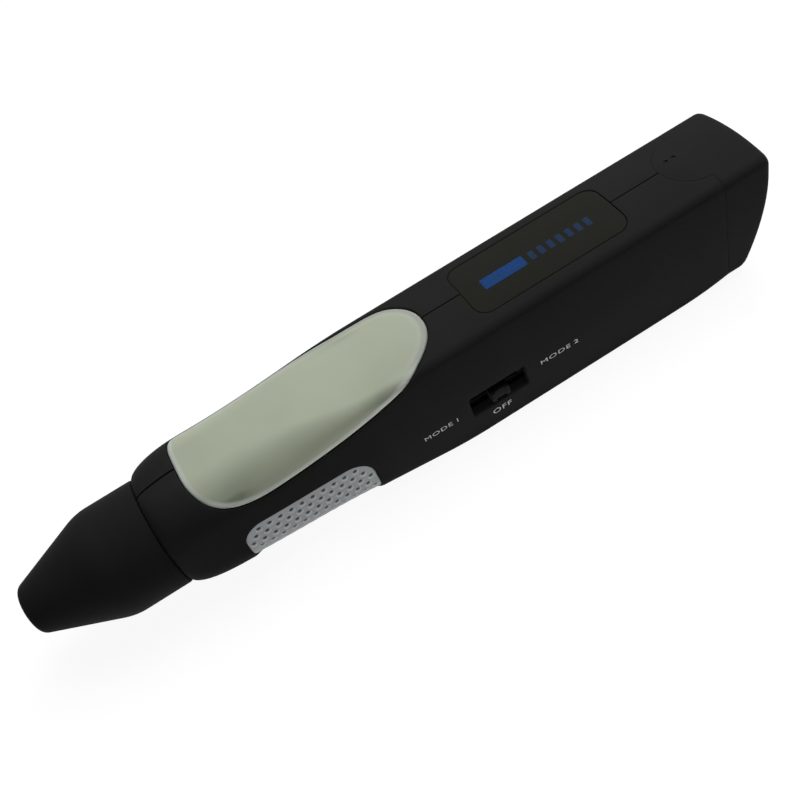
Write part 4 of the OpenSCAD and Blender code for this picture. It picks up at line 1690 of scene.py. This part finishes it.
@dataclass
class LabelPlate:
    """The let-in plate on top with a plain blue bar and a row of small marks."""

    sunk: float = 0.18
    thickness: float = 0.8
    edge: float = 0.16
    bar: BoxOutline = BoxOutline(x=130.75, arc=-1.2, length=11.4, width=3.5, corner=0.35)
    mark: BoxOutline = BoxOutline(x=138.6, arc=-1.2, length=1.45, width=2.9, corner=0.25)
    mark_pitch: float = 2.55
    marks: int = 7
    ink: float = 0.04
    ink_edge: float = 0.02
    edge_points: int = 120
    long: float = 5.0
    long_pitch: float = 1.0
    short_pitch: float = 0.4
    edge_room: float = 0.3

    def patch(self, name: str, outlines: Sequence[BoxOutline], edge: float, top: float,
              under: float) -> Object:
        """Makes thin pieces that lie on or in the top.

        Args:
            name: Name of the piece.
            outlines: One outline for each part of it.
            edge: Rounding of the edges.
            top: Depth of the top face.
            under: Depth of the lower face.

        Returns:
            The piece.
        """
        data = MeshData()
        for outline in outlines:
            sheet = SkinSheet()
            for grow in [-offset for offset in fillet_offsets(edge)] + [0.0]:
                sheet.add_line(outline.line(grow, self.edge_points), True)
            pitch = self.long_pitch if outline.length > self.long else self.short_pitch
            xs, arcs = (np.arange(-side / 2, side / 2, pitch) for side in (outline.length, outline.width))
            loose = grid(xs, arcs) + np.array([outline.x, outline.arc])
            sheet.add_points(loose[outline.gap(*loose.T) < -edge - self.edge_room * pitch])
            p, tris = sheet.triangles(lambda x, s, o=outline: o.gap(x, s) < 0)
            x, s = p.T
            outer = SKIN.point(x, s, top + fillet(-outline.gap(x, s), edge))
            data.add_solid(p, tris, outer, SKIN.point(x, s, under), False)
        return data.to_object(name)

    def dress(self) -> None:
        """Builds and finishes the plate and its print."""
        face = self.patch("label_plate_face", [PLATE], self.edge, self.sunk, self.thickness)
        dress(face, PLATE_DARK, Carrier.BODY, ["label_plate"])
        marks = [replace(self.mark, x=self.mark.x + self.mark_pitch * i) for i in range(self.marks)]
        for name, outlines, ink in (("plate_bar", [self.bar], BLUE_INK), ("plate_marks", marks, DIM_INK)):
            film = self.patch(name, outlines, self.ink_edge, self.sunk - self.ink, self.sunk + TINY)
            dress(film, ink, Carrier.BODY)


@dataclass
class NoseCap:
    """The pull-off cap over the probe."""

    length: float = 34.3
    diameter: float = 27.1
    tip: float = 11.8
    cone: float = 19.7
    wall: float = 2.3
    tip_round: float = 2.2
    tip_steps: int = 14
    blend: float = 2.7
    blend_steps: int = 18
    bore: float = 11.05
    bore_chamfer: float = 0.3
    bore_step: float = 1.0
    rear_edge: float = 0.5
    rear_steps: int = 6
    middle: float = 0.02
    tip_share: float = 0.5
    floor_share: float = 0.4
    segments: int = 160
    sharp: float = 30.0
    merge: float = 0.001

    def profile(self) -> Array:
        """Closed profile as rows of radius and station.

        Returns:
            Rows, from the tip over the outside to the floor of the bore.
        """
        r, tip_r, tip_round = self.diameter / 2, self.tip / 2, self.tip_round
        slope = (r - tip_r) / self.cone
        taper = math.atan(slope)
        rear = self.length - PARTING_GAP
        skin = self.wall * math.sqrt(1 + slope * slope)
        flat = tip_r - tip_round * (1 / math.cos(taper) - slope)
        out: list[Pair] = [(self.middle, 0.0), (flat * self.tip_share, 0.0)]
        out += [(flat + tip_round * math.sin(t), tip_round * (1 - math.cos(t)))
                for t in np.linspace(0, math.pi / 2 - taper, self.tip_steps)]
        h0, h2 = self.cone - self.blend, self.cone + self.blend
        for t in np.linspace(0, 1, self.blend_steps):
            radius = mix(mix(tip_r + slope * h0, r, t), r, t)
            out.append((radius, mix(mix(h0, self.cone, t), mix(self.cone, h2, t), t)))
        out.append((r, (h2 + rear) / 2))
        e = self.rear_edge
        out += [(r - e + e * math.cos(t), rear - e + e * math.sin(t))
                for t in np.linspace(0, np.pi / 2, self.rear_steps)]
        out += [(self.bore + self.bore_chamfer, rear), (self.bore, rear - self.bore_chamfer)]
        bore_x = (self.bore + skin - tip_r) / slope
        floor_r = tip_r + slope * self.wall - skin
        out += [(self.bore, bore_x + self.bore_step), (self.bore, bore_x), (floor_r, self.wall)]
        return np.array(out + [(floor_r * self.floor_share, self.wall), (self.middle, self.wall)])

    def build(self) -> Object:
        """Turns the profile about the nose axis.

        Returns:
            The piece.
        """
        data = MeshData()
        rings = [circle(0.0, SKIN.axis_z, r, self.segments) for r, _ in self.profile()]
        data.add_rings([np.insert(ring, 0, x, 1) for ring, (_, x) in zip(rings, self.profile())])
        return data.to_object("nose_cap_shell", self.sharp, self.merge)

    def dress(self) -> None:
        """Builds and finishes the cap."""
        # The cap's black carries painted shade for the weaker light at the front.
        dress(self.build(), CAP_SHADED_BLACK, Carrier.NOSE_CAP, ["nose_cap"])


def finish_nodes(nodes: dict[str, Object], finishes: dict[str, Finish]) -> None:
    """Gives CAD nodes that stay visible their materials.

    Args:
        nodes: The CAD nodes by name.
        finishes: A finish for each node.
    """
    for name, finish in finishes.items():
        mesh = nodes[name].data
        mesh.materials.clear()
        mesh.materials.append(finish.material())
        LOG.info("CAD node %s: %s", name, finish.name)


@dataclass
class Probe:
    """The sprung probe and its holder, lamp and wires under the nose cap."""

    spring_x0: float = 28.3
    spring_x1: float = 38.6
    turns: float = 7.0
    mean_radius: float = 1.45
    wire: float = 0.26
    travel: float = 1.5
    closed_share: float = 0.08
    eased_share: float = 0.25
    steps: int = 420
    wire_points: int = 12
    sharp: float = 60.0
    merge: float = 0.0005

    def spring(self) -> Object:
        """Winds the spring as a tube along a helix with closed end turns.

        Returns:
            The piece.
        """
        u = np.linspace(0, 1, self.steps)
        lead = clamp01((u - self.closed_share) / (1 - 2 * self.closed_share))
        lead = ease(lead) * self.eased_share + lead * (1 - self.eased_share)
        x = mix(self.spring_x0 + self.wire, self.spring_x1 - self.wire, lead)
        a = 2 * np.pi * self.turns * u
        line = np.stack([x, self.mean_radius * np.cos(a), SKIN.axis_z + self.mean_radius * np.sin(a)], 1)
        along = np.gradient(line, axis=0)
        along /= np.linalg.norm(along, axis=1)[:, None]
        out = np.stack([np.zeros(self.steps), np.cos(a), np.sin(a)], 1)
        side = np.cross(along, out)
        cos, sin = np.split(circle(0.0, 0.0, 1.0, self.wire_points), 2, axis=1)
        data = MeshData()
        data.add_rings([p + self.wire * (cos * o + sin * q) for p, o, q in zip(line, out, side)])
        return data.to_object("spring_coil", self.sharp, self.merge)

    def dress(self, nodes: dict[str, Object]) -> None:
        """Finishes the CAD pieces and replaces the spring.

        Args:
            nodes: The CAD nodes by name.
        """
        coil = dress(self.spring(), SPRING_STEEL, Carrier.BODY, ["probe_spring"])
        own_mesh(coil)
        finish_nodes(nodes, {"nose_holder": HOLDER_BLACK, "probe_tip": PROBE_METAL,
                             "probe_contact": CONTACT_BRASS, "probe_lead": WIRE_BLUE,
                             "uv_lamp": LAMP_VIOLET, "uv_leads": SPRING_STEEL})


@dataclass(frozen=True)
class Legend:
    """A short printed word on the near side: its middle, letter height and widening."""

    name: str
    text: str
    x: float
    z: float
    size: float
    stretch: float


@dataclass
class SideSwitch:
    """The slide switch on the near side with its legends."""

    length: float = 4.8
    height: float = 2.7
    proud: float = 0.8
    root: float = 10.1
    ridge: float = 0.9
    ridge_slope: float = 0.25
    dip: float = 0.4
    groove: float = 0.12
    groove_lines: int = 7
    bevel: float = 0.09
    stem: Triple = (3.2, 2.2, 3.8)
    stem_out: float = 0.4
    stem_cut: float = 0.55
    stem_bevel: float = 0.1
    sharp: float = 40.0
    legends: tuple[Legend, ...] = (
        Legend("legend_off", "OFF", 116.8, 6.2, 1.5, 1.35),
        Legend("legend_mode_one", "MODE 1", 101.1, 11.2, 1.25, 1.45),
        Legend("legend_mode_two", "MODE 2", 134.4, 12.7, 1.25, 1.6))
    letter_share: float = 1.42
    letter_depth: float = 0.012
    letter_space: float = 1.12
    word_space: float = 0.6
    letter_lift: float = 0.014

    def profile(self) -> list[Pair]:
        """Outline of the knob from above, as distance from its middle and from the middle plane.

        Returns:
            Pairs in order round the outside.
        """
        face, half = SKIN.width / 2 + self.proud, self.length / 2
        inner = half - self.ridge - self.ridge_slope
        steps: list[Pair] = [(-half, self.root), (-half, face), (-half + self.ridge, face)]
        for i in range(self.groove_lines):
            u = -inner + 2 * inner * i / (self.groove_lines - 1)
            steps.append((u, face - self.dip - (self.groove if i % 2 else 0.0)))
        return steps + [(half - self.ridge, face), (half, face), (half, self.root)]

    def knob(self) -> Object:
        """Makes the knob: two end ridges, a dip with fine grooves, and its stem.

        Returns:
            The piece.
        """
        work = bmesh.new()
        levels = (SLOT_Z - self.height / 2, SLOT_Z + self.height / 2)
        low, high = ([work.verts.new((SLOT_X + a, -b, z)) for a, b in self.profile()] for z in levels)
        work.faces.new(low[::-1])
        work.faces.new(high)
        for i, corner in enumerate(low):
            j = (i + 1) % len(low)
            work.faces.new((corner, low[j], high[j], high[i]))
        bmesh.ops.recalc_face_normals(work, faces=work.faces)
        bmesh.ops.bevel(work, geom=list(work.edges), offset=self.bevel, segments=2, profile=0.5,
                        affect="EDGES")
        data = MeshData()
        data.add_work(work)
        sx, sz, reach = self.stem
        box_mesh(data, (SLOT_X - sx / 2, -self.root - self.stem_out, SLOT_Z - sz / 2),
                 (SLOT_X + sx / 2, -self.root + reach - self.stem_cut, SLOT_Z + sz / 2), self.stem_bevel)
        return data.to_object("slide_knob", self.sharp)

    def print_word(self, word: Legend) -> Object:
        """Sets one word on the near side.

        Args:
            word: The word and its place.

        Returns:
            The piece.
        """
        curve = bpy.data.curves.new(word.name + "_letters", "FONT")
        curve.body = word.text
        curve.size = word.size * self.letter_share * MM
        curve.extrude = self.letter_depth * MM
        curve.align_x, curve.align_y = "CENTER", "CENTER"
        curve.space_character, curve.space_word = self.letter_space, self.word_space
        letters = add_object(word.name + "_letters", curve)
        bpy.context.view_layer.update()
        mesh = bpy.data.meshes.new_from_object(letters.evaluated_get(bpy.context.evaluated_depsgraph_get()))
        bpy.data.objects.remove(letters)
        face = -float(SKIN.half_width(np.array(word.x))) - self.letter_lift
        mesh.transform(Matrix(((word.stretch, 0, 0, (word.x - SKIN.length / 2) * MM),
                               (0, 0, -1, face * MM), (0, 1, 0, word.z * MM), (0, 0, 0, 1))))
        mesh.name = word.name
        return add_object(word.name, mesh)

    def dress(self, nodes: dict[str, Object]) -> None:
        """Builds and finishes the knob and the legends.

        Args:
            nodes: The CAD nodes by name.
        """
        dress(self.knob(), KNOB_GREY, Carrier.KNOB, ["switch_knob"])
        finish_nodes(nodes, {"switch_body": SWITCH_STEEL})
        for word in self.legends:
            dress(self.print_word(word), WHITE_INK, Carrier.BODY)


@dataclass
class BatteryCap:
    """The rear cap with its round tongue on top."""

    thickness: float = 1.2
    front_edge: float = 0.06
    rear_edge: float = 2.7
    rear_foot: float = 2.0
    rear_corner: float = 2.5
    rear_bow: float = 2.6
    rear_steps: int = 9
    face_steps: int = 14
    face_middle: Triple = (0.0, 0.0, SKIN.axis_z - 1.0)
    least_ring: float = 0.06
    pillow: float = 0.28
    pillow_x: float = SKIN.part_x - 4.0
    pillow_arc: float = -0.6
    pillow_radius: float = 5.4
    pillow_run: float = 1.5
    dots: tuple[Pair, ...] = ((SKIN.part_x - 5.15, 1.8), (SKIN.part_x - 3.0, 1.8))
    dot: float = 0.55
    dot_depth: float = 0.45
    dot_points: int = 24
    dot_rings: tuple[float, ...] = (1.0, 0.93, 0.75, 0.45)
    tab: Triple = (6.5, 1.3, 14.0)
    tab_play: float = 0.15
    tab_foot: float = 6.0
    tab_drop: float = 1.5
    tab_bevel: float = 0.25
    counts: tuple[int, ...] = (9, 11, 13, 11, 5)
    tongue_points: int = 96
    wing_points: int = 70
    seam_points: int = 8
    loose_front: float = 9.0
    loose_rear: float = 1.5
    loose_pitch: float = 0.6
    loose_rows: int = 7
    line_room: float = 0.2
    seam_room: float = 0.3
    same_place: float = 1e-3
    sharp: float = 34.0
    merge: float = 0.002

    @property
    def end(self) -> float:
        """Arc length of the bottom seam."""
        return float(SKIN.end(SKIN.part_x))

    def spot(self, x: Array, s: Array, depth: Array) -> Array:
        """Points under the cap's skin, which keeps the section of the parting line.

        Args:
            x: Stations.
            s: Arc lengths from the top seam.
            depth: Depths below the skin.

        Returns:
            Points as rows, in millimetres.
        """
        made = SKIN.point(np.full(len(x), SKIN.part_x), s, depth)
        made[:, 0] = x
        return made

    def inside(self, x: Array, s: Array) -> Array:
        """Distance from the front edge and the tongue's edge, positive inside."""
        return np.maximum(x - SKIN.part_x - SHUT_GAP, -TONGUE.gap(x, s))

    def depth(self, x: Array, s: Array) -> Array:
        """Depth of the outside: rounded edges, a low pillow and two dots.

        Args:
            x: Stations.
            s: Arc lengths from the top seam.

        Returns:
            Depths below the skin.
        """
        made = fillet(self.inside(x, s), self.front_edge)
        u = clamp01(np.hypot(x - self.pillow_x, s - self.pillow_arc) / self.pillow_radius)
        made = made - self.pillow * (1 - u * u) ** 2 * clamp01(self.inside(x, s) / self.pillow_run)
        for cx, cs in self.dots:
            v = np.hypot(x - cx, s - cs) / self.dot
            made = made + self.dot_depth * np.sqrt(1 - np.minimum(v, 1.0) ** 2)
        return made

    def arcs(self) -> Array:
        """Arc lengths round the whole section, from the bottom seam over the top and back."""
        half = SKIN.arcs(SKIN.part_x, self.counts)
        return np.concatenate([-half[::-1], half[1:]])

    def back(self, s: Array) -> Array:
        """Station where the rounding of the rear edge starts."""
        return SKIN.rear_x(SKIN.section(np.full(len(s), SKIN.part_x), np.abs(s))[1]) - self.rear_bow

    def front_line(self, offset: float) -> Array:
        """Line along the front edge and round the tongue, moved inwards.

        Args:
            offset: How far inwards.

        Returns:
            Rows of station and arc.
        """
        r, x = TONGUE.radius - offset, SKIN.part_x + SHUT_GAP + offset
        t = np.linspace(-np.pi / 2, np.pi / 2, self.tongue_points)
        tongue = np.stack([SKIN.part_x - r * np.cos(t), r * np.sin(t)], 1)
        wing = np.linspace(self.end, r, self.wing_points)
        return np.vstack([at_station(x, -wing), tongue, at_station(x, wing)[::-1]])

    def loose(self) -> Array:
        """Loose points that keep clear of every line.

        Returns:
            Rows of station and arc.
        """
        front, rear = SKIN.part_x - self.loose_front, SKIN.part_x + self.loose_rear
        reach = np.arange(-self.loose_front, self.loose_front + TINY, self.loose_pitch)
        arcs = self.arcs()
        points = [grid(np.arange(front, rear, self.loose_pitch), reach)]
        points += [np.stack([mix(SKIN.part_x + SHUT_GAP, self.back(arcs), share), arcs], 1)
                   for share in np.linspace(0, 1, self.loose_rows)[1:-1]]
        made = np.vstack(points)
        x, s = made.T
        clear = self.inside(x, s) > self.front_edge + self.line_room
        clear &= np.abs(s) < self.end - self.seam_room
        for cx, cs in self.dots:
            clear &= np.hypot(x - cx, s - cs) > self.dot + self.line_room
        return made[clear]

    def sheet(self) -> tuple[Array, Array]:
        """Triangles of the outside up to the rear rounding.

        Returns:
            Points as rows of station and arc, and triangles.
        """
        sheet = SkinSheet()
        arcs = self.arcs()
        sheet.add_line(np.stack([self.back(arcs), arcs], 1))
        for offset in [0.0] + fillet_offsets(self.front_edge):
            sheet.add_line(self.front_line(offset))
        for end in (-self.end, self.end):
            rear = float(self.back(np.array([end]))[0])
            xs = np.linspace(SKIN.part_x + SHUT_GAP, rear, self.seam_points)
            sheet.add_line(np.stack([xs, np.full(self.seam_points, end)], 1))
        for x, s in self.dots:
            for share in self.dot_rings:
                sheet.add_line(circle(x, s, self.dot * share, self.dot_points), True)
        sheet.add_points(self.loose())

        def keep(x: Array, s: Array) -> Array:
            """Middles on the cap."""
            return (self.inside(x, s) > 0) & (x < self.back(s)) & (np.abs(s) < self.end)

        return sheet.triangles(keep)

    def rear_rings(self, more: float) -> list[Array]:
        """Rings from the start of the rear rounding to the middle of the rear face.

        Args:
            more: Depth below the outside.

        Returns:
            Closed rings of points.
        """
        arcs = self.arcs()[:-1]
        start = self.spot(np.zeros(len(arcs)), arcs, more)
        half, low = float(SKIN.half_width(np.array(SKIN.part_x))), float(SKIN.bottom_z(np.array(SKIN.part_x)))
        high = SKIN.height
        rings = []
        for t in np.linspace(0, np.pi / 2, self.rear_steps):
            k = 1 - math.cos(t)
            z0, z1 = low + self.rear_foot * k, high - self.rear_edge * k
            ring = start.copy()
            ring[:, 1] *= (half - self.rear_corner * k) / half
            ring[:, 2] = z0 + (ring[:, 2] - low) * (z1 - z0) / (high - low)
            ring[:, 0] = SKIN.rear_x(ring[:, 2]) - self.rear_bow * (1 - math.sin(t)) - more * math.sin(t)
            rings.append(ring)
        rings[0][:, 0] = self.back(arcs)
        rim, middle = rings[-1], np.array(self.face_middle)
        for share in np.linspace(1, self.least_ring, self.face_steps)[1:]:
            ring = middle + (rim - middle) * share
            ring[:, 0] = SKIN.rear_x(ring[:, 2]) - more
            rings.append(ring)
        return rings

    def build(self) -> Object:
        """Makes the cap as a thin closed shell with two tabs.

        Returns:
            The piece.
        """
        p, tris = self.sheet()
        x, s = p.T
        data = MeshData()

        def open_edge(e: Array) -> bool:
            """Edges on the rear rounding and on the bottom seam, which other faces join."""
            at_rear = np.all(np.abs(e[:, 0] - self.back(e[:, 1])) < self.same_place)
            return bool(at_rear or np.all(np.abs(np.abs(e[:, 1]) - self.end) < self.same_place))

        outer, inner = self.spot(x, s, self.depth(x, s)), self.spot(x, s, self.thickness)
        data.add_solid(p, tris, outer, inner, False, open_edge)
        data.add_rings([ring[::-1] for ring in self.rear_rings(0.0)], close_start=False)
        data.add_rings(self.rear_rings(self.thickness), close_start=False)
        length, thick, high = self.tab
        y0 = float(SKIN.half_width(np.array(SKIN.part_x))) - Housing.wall - self.tab_play - thick
        z0 = SKIN.axis_z - self.tab_drop - high / 2
        for sign in (-1, 1):
            low, top = sorted((sign * y0, sign * (y0 + thick)))
            box_mesh(data, (SKIN.part_x - length, low, z0), (SKIN.part_x + self.tab_foot, top, z0 + high),
                     self.tab_bevel)
        return data.to_object("battery_cap_shell", self.sharp, self.merge)

    def dress(self) -> None:
        """Builds and finishes the cap."""
        dress(self.build(), SHELL_BLACK, Carrier.REAR_CAP, ["battery_cap"])


@dataclass
class Inside:
    """Electronics, battery and screws, which keep their CAD shapes."""

    def dress(self, nodes: dict[str, Object]) -> None:
        """Finishes the pieces inside the body.

        Args:
            nodes: The CAD nodes by name.
        """
        finish_nodes(nodes, {"circuit_board": BOARD_GREEN, "reflector": WHITE_TRAY,
                             "indicator_leds": LED_GREEN, "controller_chip": CHIP_BLACK,
                             "buzzer": CHIP_BLACK, "battery": BATTERY_WRAP, "battery_snap": SNAP_BLACK,
                             "battery_leads": WIRE_RED, "housing_screws": SCREW_STEEL})


@dataclass(frozen=True)
class SoftLamp:
    """A square lamp that points at the body, in metres and watts."""

    name: str
    place: Triple
    size: float
    power: float


@dataclass(frozen=True)
class TableStrip:
    """A weak strip of light on the table, in metres and watts."""

    name: str
    x: float
    length: float
    power: float


@dataclass
class Studio:
    """Camera, soft lamps, pale floor and white surroundings."""

    camera_place: Triple = (-0.0279, -0.1597, 0.2008)
    right: Triple = (0.8455, -0.4596, -0.2718)
    up: Triple = (0.5232, 0.6113, 0.5938)
    lens_pixels: float = 1034.0
    frame_pixels: float = 800.0
    sensor: float = 36.0
    clip: Pair = (0.01, 20.0)
    ambient: float = 0.03
    ambient_tint: Color = (0.98, 1.0, 1.0)
    floor_size: float = 4.0
    floor_z: float = -0.00004
    floor_cloud: float = 6.0
    floor_roughness: float = 0.9
    floor_tones: tuple[Color, Color] = ((0.84, 0.84, 0.84), (0.88, 0.88, 0.88))
    floor_glow: float = 1.06
    floor_shares: Pair = (0.25, 0.88)
    aim: Triple = (0.0, 0.0, 0.015)
    lamps: tuple[SoftLamp, ...] = (SoftLamp("key_behind", (0.26, 0.42, 0.52), 0.5, 1.4),
                                   SoftLamp("top_soft", (0.24, 0.15, 0.69), 0.55, 5.0))
    strips: tuple[TableStrip, ...] = (TableStrip("table_strip_rear", 0.058, 0.15, 0.0085),
                                      TableStrip("table_strip_front", -0.088, 0.03, 0.0035))
    strip_y: float = -0.025
    strip_z: float = 0.0006
    strip_width: float = 0.018

    def camera(self) -> None:
        """Sets the camera at the photograph's viewing angle."""
        data = bpy.data.cameras.new("photo_camera")
        data.sensor_width = self.sensor
        data.lens = self.lens_pixels / self.frame_pixels * self.sensor
        data.clip_start, data.clip_end = self.clip
        obj = add_object("photo_camera", data)
        r, u = Vector(self.right).normalized(), Vector(self.up).normalized()
        b = r.cross(u).normalized()
        turn = Matrix((r, b.cross(r), b)).transposed().to_4x4()
        obj.matrix_world = Matrix.Translation(Vector(self.camera_place)) @ turn
        bpy.context.scene.camera = obj

    def hang(self, lamp: SoftLamp) -> None:
        """Hangs a soft lamp.

        Args:
            lamp: The lamp.
        """
        data = bpy.data.lights.new(lamp.name, "AREA")
        data.size, data.energy = lamp.size, lamp.power
        obj = add_object(lamp.name, data)
        obj.location = lamp.place
        obj.rotation_mode = "QUATERNION"
        obj.rotation_quaternion = (Vector(self.aim) - Vector(lamp.place)).to_track_quat("-Z", "Y")

    def lay(self, strip: TableStrip) -> None:
        """Lays a strip that lifts the lower part of the near side and isn't seen itself.

        Args:
            strip: The strip.
        """
        data = bpy.data.lights.new(strip.name, "AREA")
        data.shape = "RECTANGLE"
        data.size, data.size_y, data.energy = strip.length, self.strip_width, strip.power
        obj = add_object(strip.name, data)
        obj.location = (strip.x, self.strip_y, self.strip_z)
        obj.rotation_euler = (math.pi, 0.0, 0.0)
        obj.visible_camera = False
        obj.visible_glossy = False

    def world(self) -> None:
        """White surroundings to look at, and a plain soft light level to be lit by."""
        world = bpy.data.worlds.new("studio")
        bpy.context.scene.world = world
        world.use_nodes = True
        world.node_tree.nodes.clear()
        nodes = Nodes(world.node_tree)
        shown = nodes.add("ShaderNodeBackground", {"Color": (1.0, 1.0, 1.0, 1.0), "Strength": 1.0})
        soft = {"Color": (*self.ambient_tint, 1.0), "Strength": self.ambient}
        light = nodes.add("ShaderNodeBackground", soft)
        pick = nodes.add("ShaderNodeMixShader", {0: nodes.seen(), 1: light.outputs[0], 2: shown.outputs[0]})
        nodes.add("ShaderNodeOutputWorld", {"Surface": pick.outputs[0]})

    def floor(self) -> None:
        """Lays the pale floor that keeps the object's shadow."""
        h = self.floor_size / 2
        mesh = bpy.data.meshes.new("floor")
        corners = [(x * h, y * h, self.floor_z) for x, y in ((-1, -1), (1, -1), (1, 1), (-1, 1))]
        mesh.from_pydata(corners, [], [(0, 1, 2, 3)])
        nodes = MaterialNodes("floor_pale")
        nodes.set(Base_Color=nodes.blend(nodes.noise(self.floor_cloud), *self.floor_tones))
        nodes.set(Roughness=self.floor_roughness, Specular_IOR_Level=0.0)
        share = nodes.span(nodes.seen(), 0.0, 1.0, *self.floor_shares)
        glow = nodes.add("ShaderNodeEmission", {"Strength": self.floor_glow})
        pick = nodes.add("ShaderNodeMixShader", {0: share, 1: nodes.shader.outputs[0], 2: glow.outputs[0]})
        out = next(n for n in nodes.tree.nodes if n.type == "OUTPUT_MATERIAL")
        nodes.put(out.inputs["Surface"], pick.outputs[0])
        mesh.materials.append(nodes.material)
        add_object("floor", mesh)

    def build(self) -> None:
        """Sets up the whole studio."""
        bpy.context.scene.view_settings.view_transform = "Standard"
        self.camera()
        self.world()
        self.floor()
        for lamp in self.lamps:
            self.hang(lamp)
        for strip in self.strips:
            self.lay(strip)


def main() -> None:
    """Builds the sub-assemblies in order."""
    logging.basicConfig(level=logging.INFO, format="%(message)s")
    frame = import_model()
    nodes = frame["nodes"]
    Studio().build()
    Housing().dress()
    WindowPanel().dress()
    FingerPads().dress()
    LabelPlate().dress()
    NoseCap().dress()
    Probe().dress(nodes)
    SideSwitch().dress(nodes)
    BatteryCap().dress()
    Inside().dress(nodes)
    bpy.context.view_layer.update()


if __name__ == "__main__":
    main()
